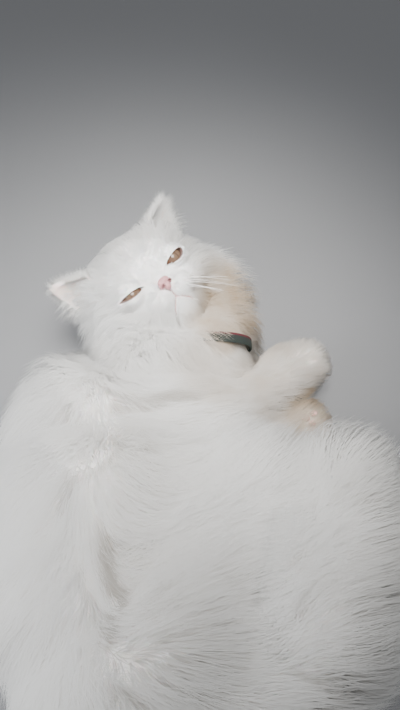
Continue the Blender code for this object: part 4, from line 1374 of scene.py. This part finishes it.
def face_arrays(mesh):
    """The corners of a mesh's triangles, in space and on its flat pattern."""
    uv = read_rows(mesh.uv_layers["OFBake"].uv, "vector", 2)
    return vertex_array(mesh)[triangle_rows(mesh, "vertices")], uv[triangle_rows(mesh, "loops")]


def sow(places, patterns, density, count, draw):
    """Roots scattered over triangles by area and density, their place on the pattern, and
    the triangles they stand on."""
    chance = length(crossed(places)) * density
    chosen = draw.choice(len(places), count, p=chance / chance.sum())
    first, second = draw.uniform(size=(2, count))
    over = first + second > 1
    first, second = np.where(over, 1 - first, first), np.where(over, 1 - second, second)
    weights = np.stack([1 - first - second, first, second], axis=1)[:, :, None]
    return (places[chosen] * weights).sum(1), (patterns[chosen] * weights).sum(1), chosen


TRANSLUCENCE = 0.5  # the share of light that passes through a tuft
SHADE = (0.91, 0.906, 0.90, 1)  # what a lamp sends on between a tuft's fine hairs


def coat_material(name, white, buff, root_shade):
    material, tree, shader = new_material(name, white, 0.6)
    # White with buff, which is partly stain and partly painted shade.
    colour = place_buff_stain_and_shade(tree, white, buff)
    streak = remap(tree, grain(tree, "TexNoise", 220.0), 0.3, 0.7, 0.0, 0.15)
    colour = blend(tree, streak, colour, (0.82, 0.80, 0.77))
    # Painted shade: each tuft is darker towards its root, where the inside of the coat lies in shadow.
    root_shade_share = remap(tree, read_value(tree, "along"), 0.0, 0.7, 0.5, 0.0)
    colour = blend(tree, root_shade_share, colour, root_shade)
    # Painted shade where the coat parts.
    colour = add_node(tree, "Group", {"Colour": colour}, node_tree=PARTING_SHADE)
    finish(tree, shader, colour)
    through = add_node(tree, "BsdfTranslucent", {"Color": colour})
    hair = {"Fac": TRANSLUCENCE, 1: shader.outputs[0], 2: through}
    gaps = add_node(tree, "BsdfTransparent", {"Color": SHADE})
    shaded = add_node(tree, "LightPath", output="Is Shadow Ray")
    thin = {"Fac": shaded, 1: add_node(tree, "MixShader", hair), 2: gaps}
    output = next(n for n in tree.nodes if n.type == "OUTPUT_MATERIAL")
    tree.links.new(add_node(tree, "MixShader", thin), output.inputs["Surface"])
    return material


# The last colour is the painted shade at the tufts' roots.
COAT_FINISH = coat_material(
    "coat_finish", (0.93, 0.925, 0.91), (0.56, 0.41, 0.25), (0.87, 0.84, 0.80)
)


def hang(name, mesh, material=COAT_FINISH):
    """Adds a piece of the coat."""
    piece = new_object(name, mesh, material)
    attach(piece, "root")


# ---------------------------------------------------------------- coat of the body
# The long coat of trunk, ruff, thighs and tail, and the short coat of the legs and the face.
# Each piece is rooted in the skin over one part and runs into its neighbours.

unwrap(skin)
triangles, patterns = face_arrays(skin.data)
centres = triangles.mean(axis=1)

# The order of the triangles that the cuts round the eyes make changes from run to run, so all
# that lie there are sorted by place. The draws then fall on the same ones each time.
EYE_SURROUND = 0.016
FACE_REACH = 0.046  # from the tip of the nose
FACE_FOOT = 0.026  # towards the throat


def in_face(local):
    """Whether places in the head's frame lie on the face, where the coat is short."""
    return (length(local - NOSE_TIP) < FACE_REACH) & (local @ FACE_DOWN < FACE_FOOT)


from_eyes = [length(to_head(centres) - np.array(eye_place(side))) for side in (1, -1)]
round_eyes = (np.minimum(*from_eyes) < EYE_SURROUND) & in_face(to_head(centres))
round_eyes = np.flatnonzero(round_eyes)
in_order = round_eyes[np.lexsort(np.round(centres[round_eyes], 9).T)]
for rows in (triangles, patterns, centres):
    rows[round_eyes] = rows[in_order]

facing = unit(crossed(triangles))
centre_local = to_head(centres)
from_nose = length(centre_local - NOSE_TIP)
down_face = centre_local @ FACE_DOWN
envelope, _, _, sizes, near_parts = coat_field(centres, RELIEF)
THROAT_CENTRE = (0.035, 0.135, 0.075)
crowding = np.clip(-envelope / sizes[0], 1, 2.5) ** 1.5  # more hair in hollows
crowding *= 1 + 1.8 * bell(length(centres - THROAT_CENTRE), 0.040)
crowding *= 1 + 1.5 * smooth(down_face, 0.012, 0.030) * (centre_local[:, 1] > 0.0)
nearest_part = np.array([near_parts[name] for name in PARTS]).argmax(0)
part_of = {name: nearest_part == number for number, name in enumerate(PARTS)}

# Left bare: what rests on the floor, the lids' edges, the lips and the nose, and the gap over
# the collar.
NOSE_CENTRE = (0, 0.047, -0.0125)
NOSE_REACH = (0.0070, 0.02, 0.0068)
UNDERSIDE = 0.035  # below this height, what faces down is bare
BARE_LID = 1.08  # in openings of the lids
BARE_LIP = 0.0010
bare = (centres[:, 2] < 0.006) | ((facing[:, 2] < -0.45) & (centres[:, 2] < UNDERSIDE))
bare |= opening_measure(centre_local) < BARE_LID
bare |= mouth_distance(centre_local) < BARE_LIP
bare |= length((centre_local - NOSE_CENTRE) / NOSE_REACH) < 1
for side in (1, -1):
    from_eye = centre_local - np.array(eye_place(side))
    inward = (from_eye * (facing @ HEAD_TURN)).sum(1) < 0
    bare |= inward & (length(from_eye) < EYE_RADIUS + 0.002)
bare |= ~part_of["head"] & (from_nose < 0.054)
bare |= length(centres - COLLAR_GAP[0]) < 0.5 * COLLAR_GAP[1]

SHOULDERS_FROM = 0.012
RUMP_FROM = -0.078
FACE_SHADING = (0.985, 0.7)  # softness, and the part along a tuft that its root counts as
on_face = part_of["head"] & in_face(centre_local)
on_throat = (np.abs(centres[:, 1] - 0.120) < 0.035) & (centres[:, 2] > 0.055)
on_foreleg = part_of["foreleg_right"] | part_of["foreleg_left"]
trunk, neck, y = part_of["torso"], part_of["neck"], centres[:, 1]
on_flank = trunk & (y <= SHOULDERS_FROM) & (y >= RUMP_FROM)
PIECES = [  # (piece, where it is rooted, tufts, share of leaders, pull into locks, wave)
    ("coat_shoulders", trunk & (y > SHOULDERS_FROM), 8500, 0.05, 0.36, 0.0014),
    ("coat_flank", on_flank, 10000, 0.05, 0.34, 0.0014),
    ("coat_rump", trunk & (y < RUMP_FROM), 8500, 0.05, 0.34, 0.0014),
    ("coat_throat", neck & on_throat, 9500, 0.05, 0.42, 0.0014),
    ("coat_ruff", neck & ~on_throat, 5500, 0.06, 0.32, 0.0012),
    ("coat_thigh_right", part_of["hindleg_right"], 10500, 0.06, 0.26, 0.0012),
    ("coat_thigh_left", part_of["hindleg_left"], 3000, 0.06, 0.32, 0.0012),
    ("coat_tail", part_of["tail"], 10500, 0.06, 0.28, 0.0012),
    ("coat_forelegs", on_foreleg, 6500, 0.07, 0.4, 0.0005),
    ("coat_head", part_of["head"] & ~on_face, 8500, 0.06, 0.5, 0.0008),
    ("coat_face", on_face, 13500, 0.06, 0.3, 0.0),
]


def build_coat(number, name, rooted, count, leaders, pull, waviness):
    draw = np.random.default_rng(100 + number)
    density = np.where(rooted & ~bare, crowding, 0.0)
    roots, patches, chosen = sow(triangles, patterns, density, count, draw)
    if name == "coat_face":
        (points, girth), (softness, paled) = SHORT_TUFT, FACE_SHADING
        spines, outs, widths = lay(roots, facing[chosen], points, draw)
    else:
        (points, girth), (softness, paled) = LONG_TUFT, (SOFTNESS, 0.0)
        spines, outs, widths = grow(roots, points, draw)
    spines = gather(spines, points, int(count * leaders), pull, draw)
    spines = wave(spines, points, waviness, draw)
    keep_above_floor(spines, draw)
    widths = widths * draw.uniform(0.7, 1.25, count)
    hang(name, tuft_mesh(name, spines, outs, widths, girth, patches, softness, paled))


for number, row in enumerate(PIECES):
    build_coat(number, *row)

# ---------------------------------------------------------------- hair of the ears
# Short hair on the back of each ear, a fringe along its rim, and long wisps that spring from
# the cup and from its outer edge near the cheek.

EAR_COAT = (0.0048, 0.0004)  # length and width on the back
EAR_FRINGE = (0.0080, 0.00034)
EAR_WISPS = (0.0200, 0.00036)
EAR_FILL = {1: (900, (0.0100, 0.00028)), -1: (1500, (0.0150, 0.00034))}
CUP_REACH = {1: 0.55, -1: 0.95}  # how far up the cup its hair grows


def spring(roots, ways, outs, lengths, points, droop):
    """The spines of hairs that stand straight off their roots and sag towards droop."""
    lengths = lengths[:, None]
    spine = [roots + ways * (share * lengths) + droop * share**2 * lengths for share in points]
    return np.stack(spine, axis=1), np.repeat(outs[:, None, :], len(points), axis=1)


def ear_hair(side, word):
    draw = np.random.default_rng(300 + side)
    unwrap(ears[side])
    corners, pattern = face_arrays(ears[side].data)
    normal = unit(crossed(corners))
    across, mouth, up = np.array(HEAD_MATRIX.to_3x3() @ ear_frame(side)[1]).T
    rise, sideways = ear_measures(side, to_head(corners.mean(axis=1)))
    facing = normal @ mouth
    rim = (np.abs(sideways) > 0.80) | (rise > 0.86)
    lateral = sideways * np.sign(across @ HEAD_TURN[:, 0]) * side
    cup = (facing > 0.1) & (rise < CUP_REACH[side]) & (np.abs(sideways) < 0.9)
    rows = [  # (where, hairs, size, lift off the skin, out of the cup, to the sides)
        (facing < 0.05, 1500, EAR_COAT, 0.30, 0.0, 0.0),
        (rim, 900, EAR_FRINGE, 0.30, 0.0, 0.75),
        (cup, *EAR_FILL[side], 0.35, 0.30, 0.25),
        ((lateral > 0.5) * (rise < 0.5), 170, EAR_WISPS, 0.25, 0.35, 0.9),
    ]
    points, girth = SHORT_TUFT
    parts = []
    for place, count, (size, width), lift, open_out, sideward in rows:
        roots, where, pick = sow(corners, pattern, place + 1e-12, count, draw)
        way = up + normal[pick] * lift + mouth * open_out
        way = way + across * (sideward * np.sign(sideways[pick]))[:, None]
        way = unit(way + draw.normal(0, 0.16, (count, 3)))
        lengths = size * draw.uniform(0.6, 1.15, count)
        spine, out = spring(roots, way, normal[pick], lengths, points, -0.25 * up)
        parts.append((spine, out, width * draw.uniform(0.7, 1.2, count), where))
    spines, outs, widths, patches = (np.concatenate(part) for part in zip(*parts))
    name = f"hair_ear_{word}"
    hang(name, tuft_mesh(name, spines, outs, widths, girth, patches))


for side, word in SIDES:
    ear_hair(side, word)

# ---------------------------------------------------------------- whiskers
# Stiff white bristles in rows on the pads beside the nose, and a few above each eye. Each is
# rooted in the skin, sags a little and runs out to a point.

WHISKER_ROWS = [  # (across, height) on the pad, then length, and the way up or down
    (0.0100, -0.0190, 0.036, 0.20),
    (0.0150, -0.0195, 0.050, 0.12),
    (0.0185, -0.0200, 0.044, 0.02),
    (0.0110, -0.0225, 0.042, 0.02),
    (0.0155, -0.0235, 0.052, -0.06),
    (0.0190, -0.0240, 0.046, -0.14),
    (0.0120, -0.0262, 0.036, -0.20),
    (0.0160, -0.0278, 0.040, -0.30),
    (0.0190, -0.0285, 0.034, -0.38),
]
BROW_BRISTLES = [(0.0200, 0.0120, 0.016), (0.0270, 0.0135, 0.018)]
WHISKER_KNOTS = ((0.0, 0.2, 0.4, 0.6, 0.8, 1.0), (1.0, 0.9, 0.75, 0.55, 0.35))
WHISKER_WIDTH = 0.00034
WHISKER_SAG = 0.30


def whisker_material():
    material, tree, shader = new_material("whisker_finish", (0.9, 0.89, 0.87), 0.35)
    along = read_value(tree, "along")
    finish(tree, shader, blend(tree, along, (0.80, 0.76, 0.72), (0.93, 0.92, 0.91)))
    return material


def whisker_plan():
    """The place on the face, the way and the length of each bristle, in the head's frame. The
    cheek that the cat lies towards spreads its whiskers; the other's lie back."""
    for side in (1, -1):
        for across, height, reach, climb in WHISKER_ROWS:
            way = (-1.0, 0.40, climb - 1.0) if side < 0 else (1.0, 0.05, climb * 0.6 - 0.25)
            yield side * across, height, way, reach * (1.0 if side < 0 else 0.4)
        for across, height, reach in BROW_BRISTLES:
            yield side * across, height, (side * 0.35, 0.6, 0.8), reach


def build_whiskers():
    draw = np.random.default_rng(500)
    local = [Vector(place) for place in to_head(vertex_array(skin.data))]
    tree = BVHTree.FromPolygons(local, [tuple(face.vertices) for face in skin.data.polygons])
    roots, ways, lengths = [], [], []
    for across, height, way, reach in whisker_plan():
        hit = tree.ray_cast(Vector((across, 0.1, height)), Vector((0, -1, 0)))[0]
        roots.append(hit - Vector((0, 0.001, 0)))
        ways.append(Vector(way).normalized())
        lengths.append(reach)
    count = len(roots)
    points, girth = WHISKER_KNOTS
    roots = np.array(roots) @ HEAD_TURN.T + np.array(SKULL)
    ways = unit(np.array(ways) + draw.normal(0, 0.05, (count, 3))) @ HEAD_TURN.T
    lengths = np.array(lengths) * draw.uniform(0.9, 1.1, count)
    outs = np.tile((0.0, 0.0, 1.0), (count, 1))
    spines, outs = spring(roots, ways, outs, lengths, points, -WHISKER_SAG * HEAD_TURN[:, 1])
    patches = np.stack([np.linspace(0.1, 0.9, count), np.full(count, 0.5)], axis=1)
    widths = WHISKER_WIDTH * np.clip(lengths / 0.04, 0.5, 1)
    hang("whiskers", tuft_mesh("whiskers", spines, outs, widths, girth, patches), whisker_material())


build_whiskers()
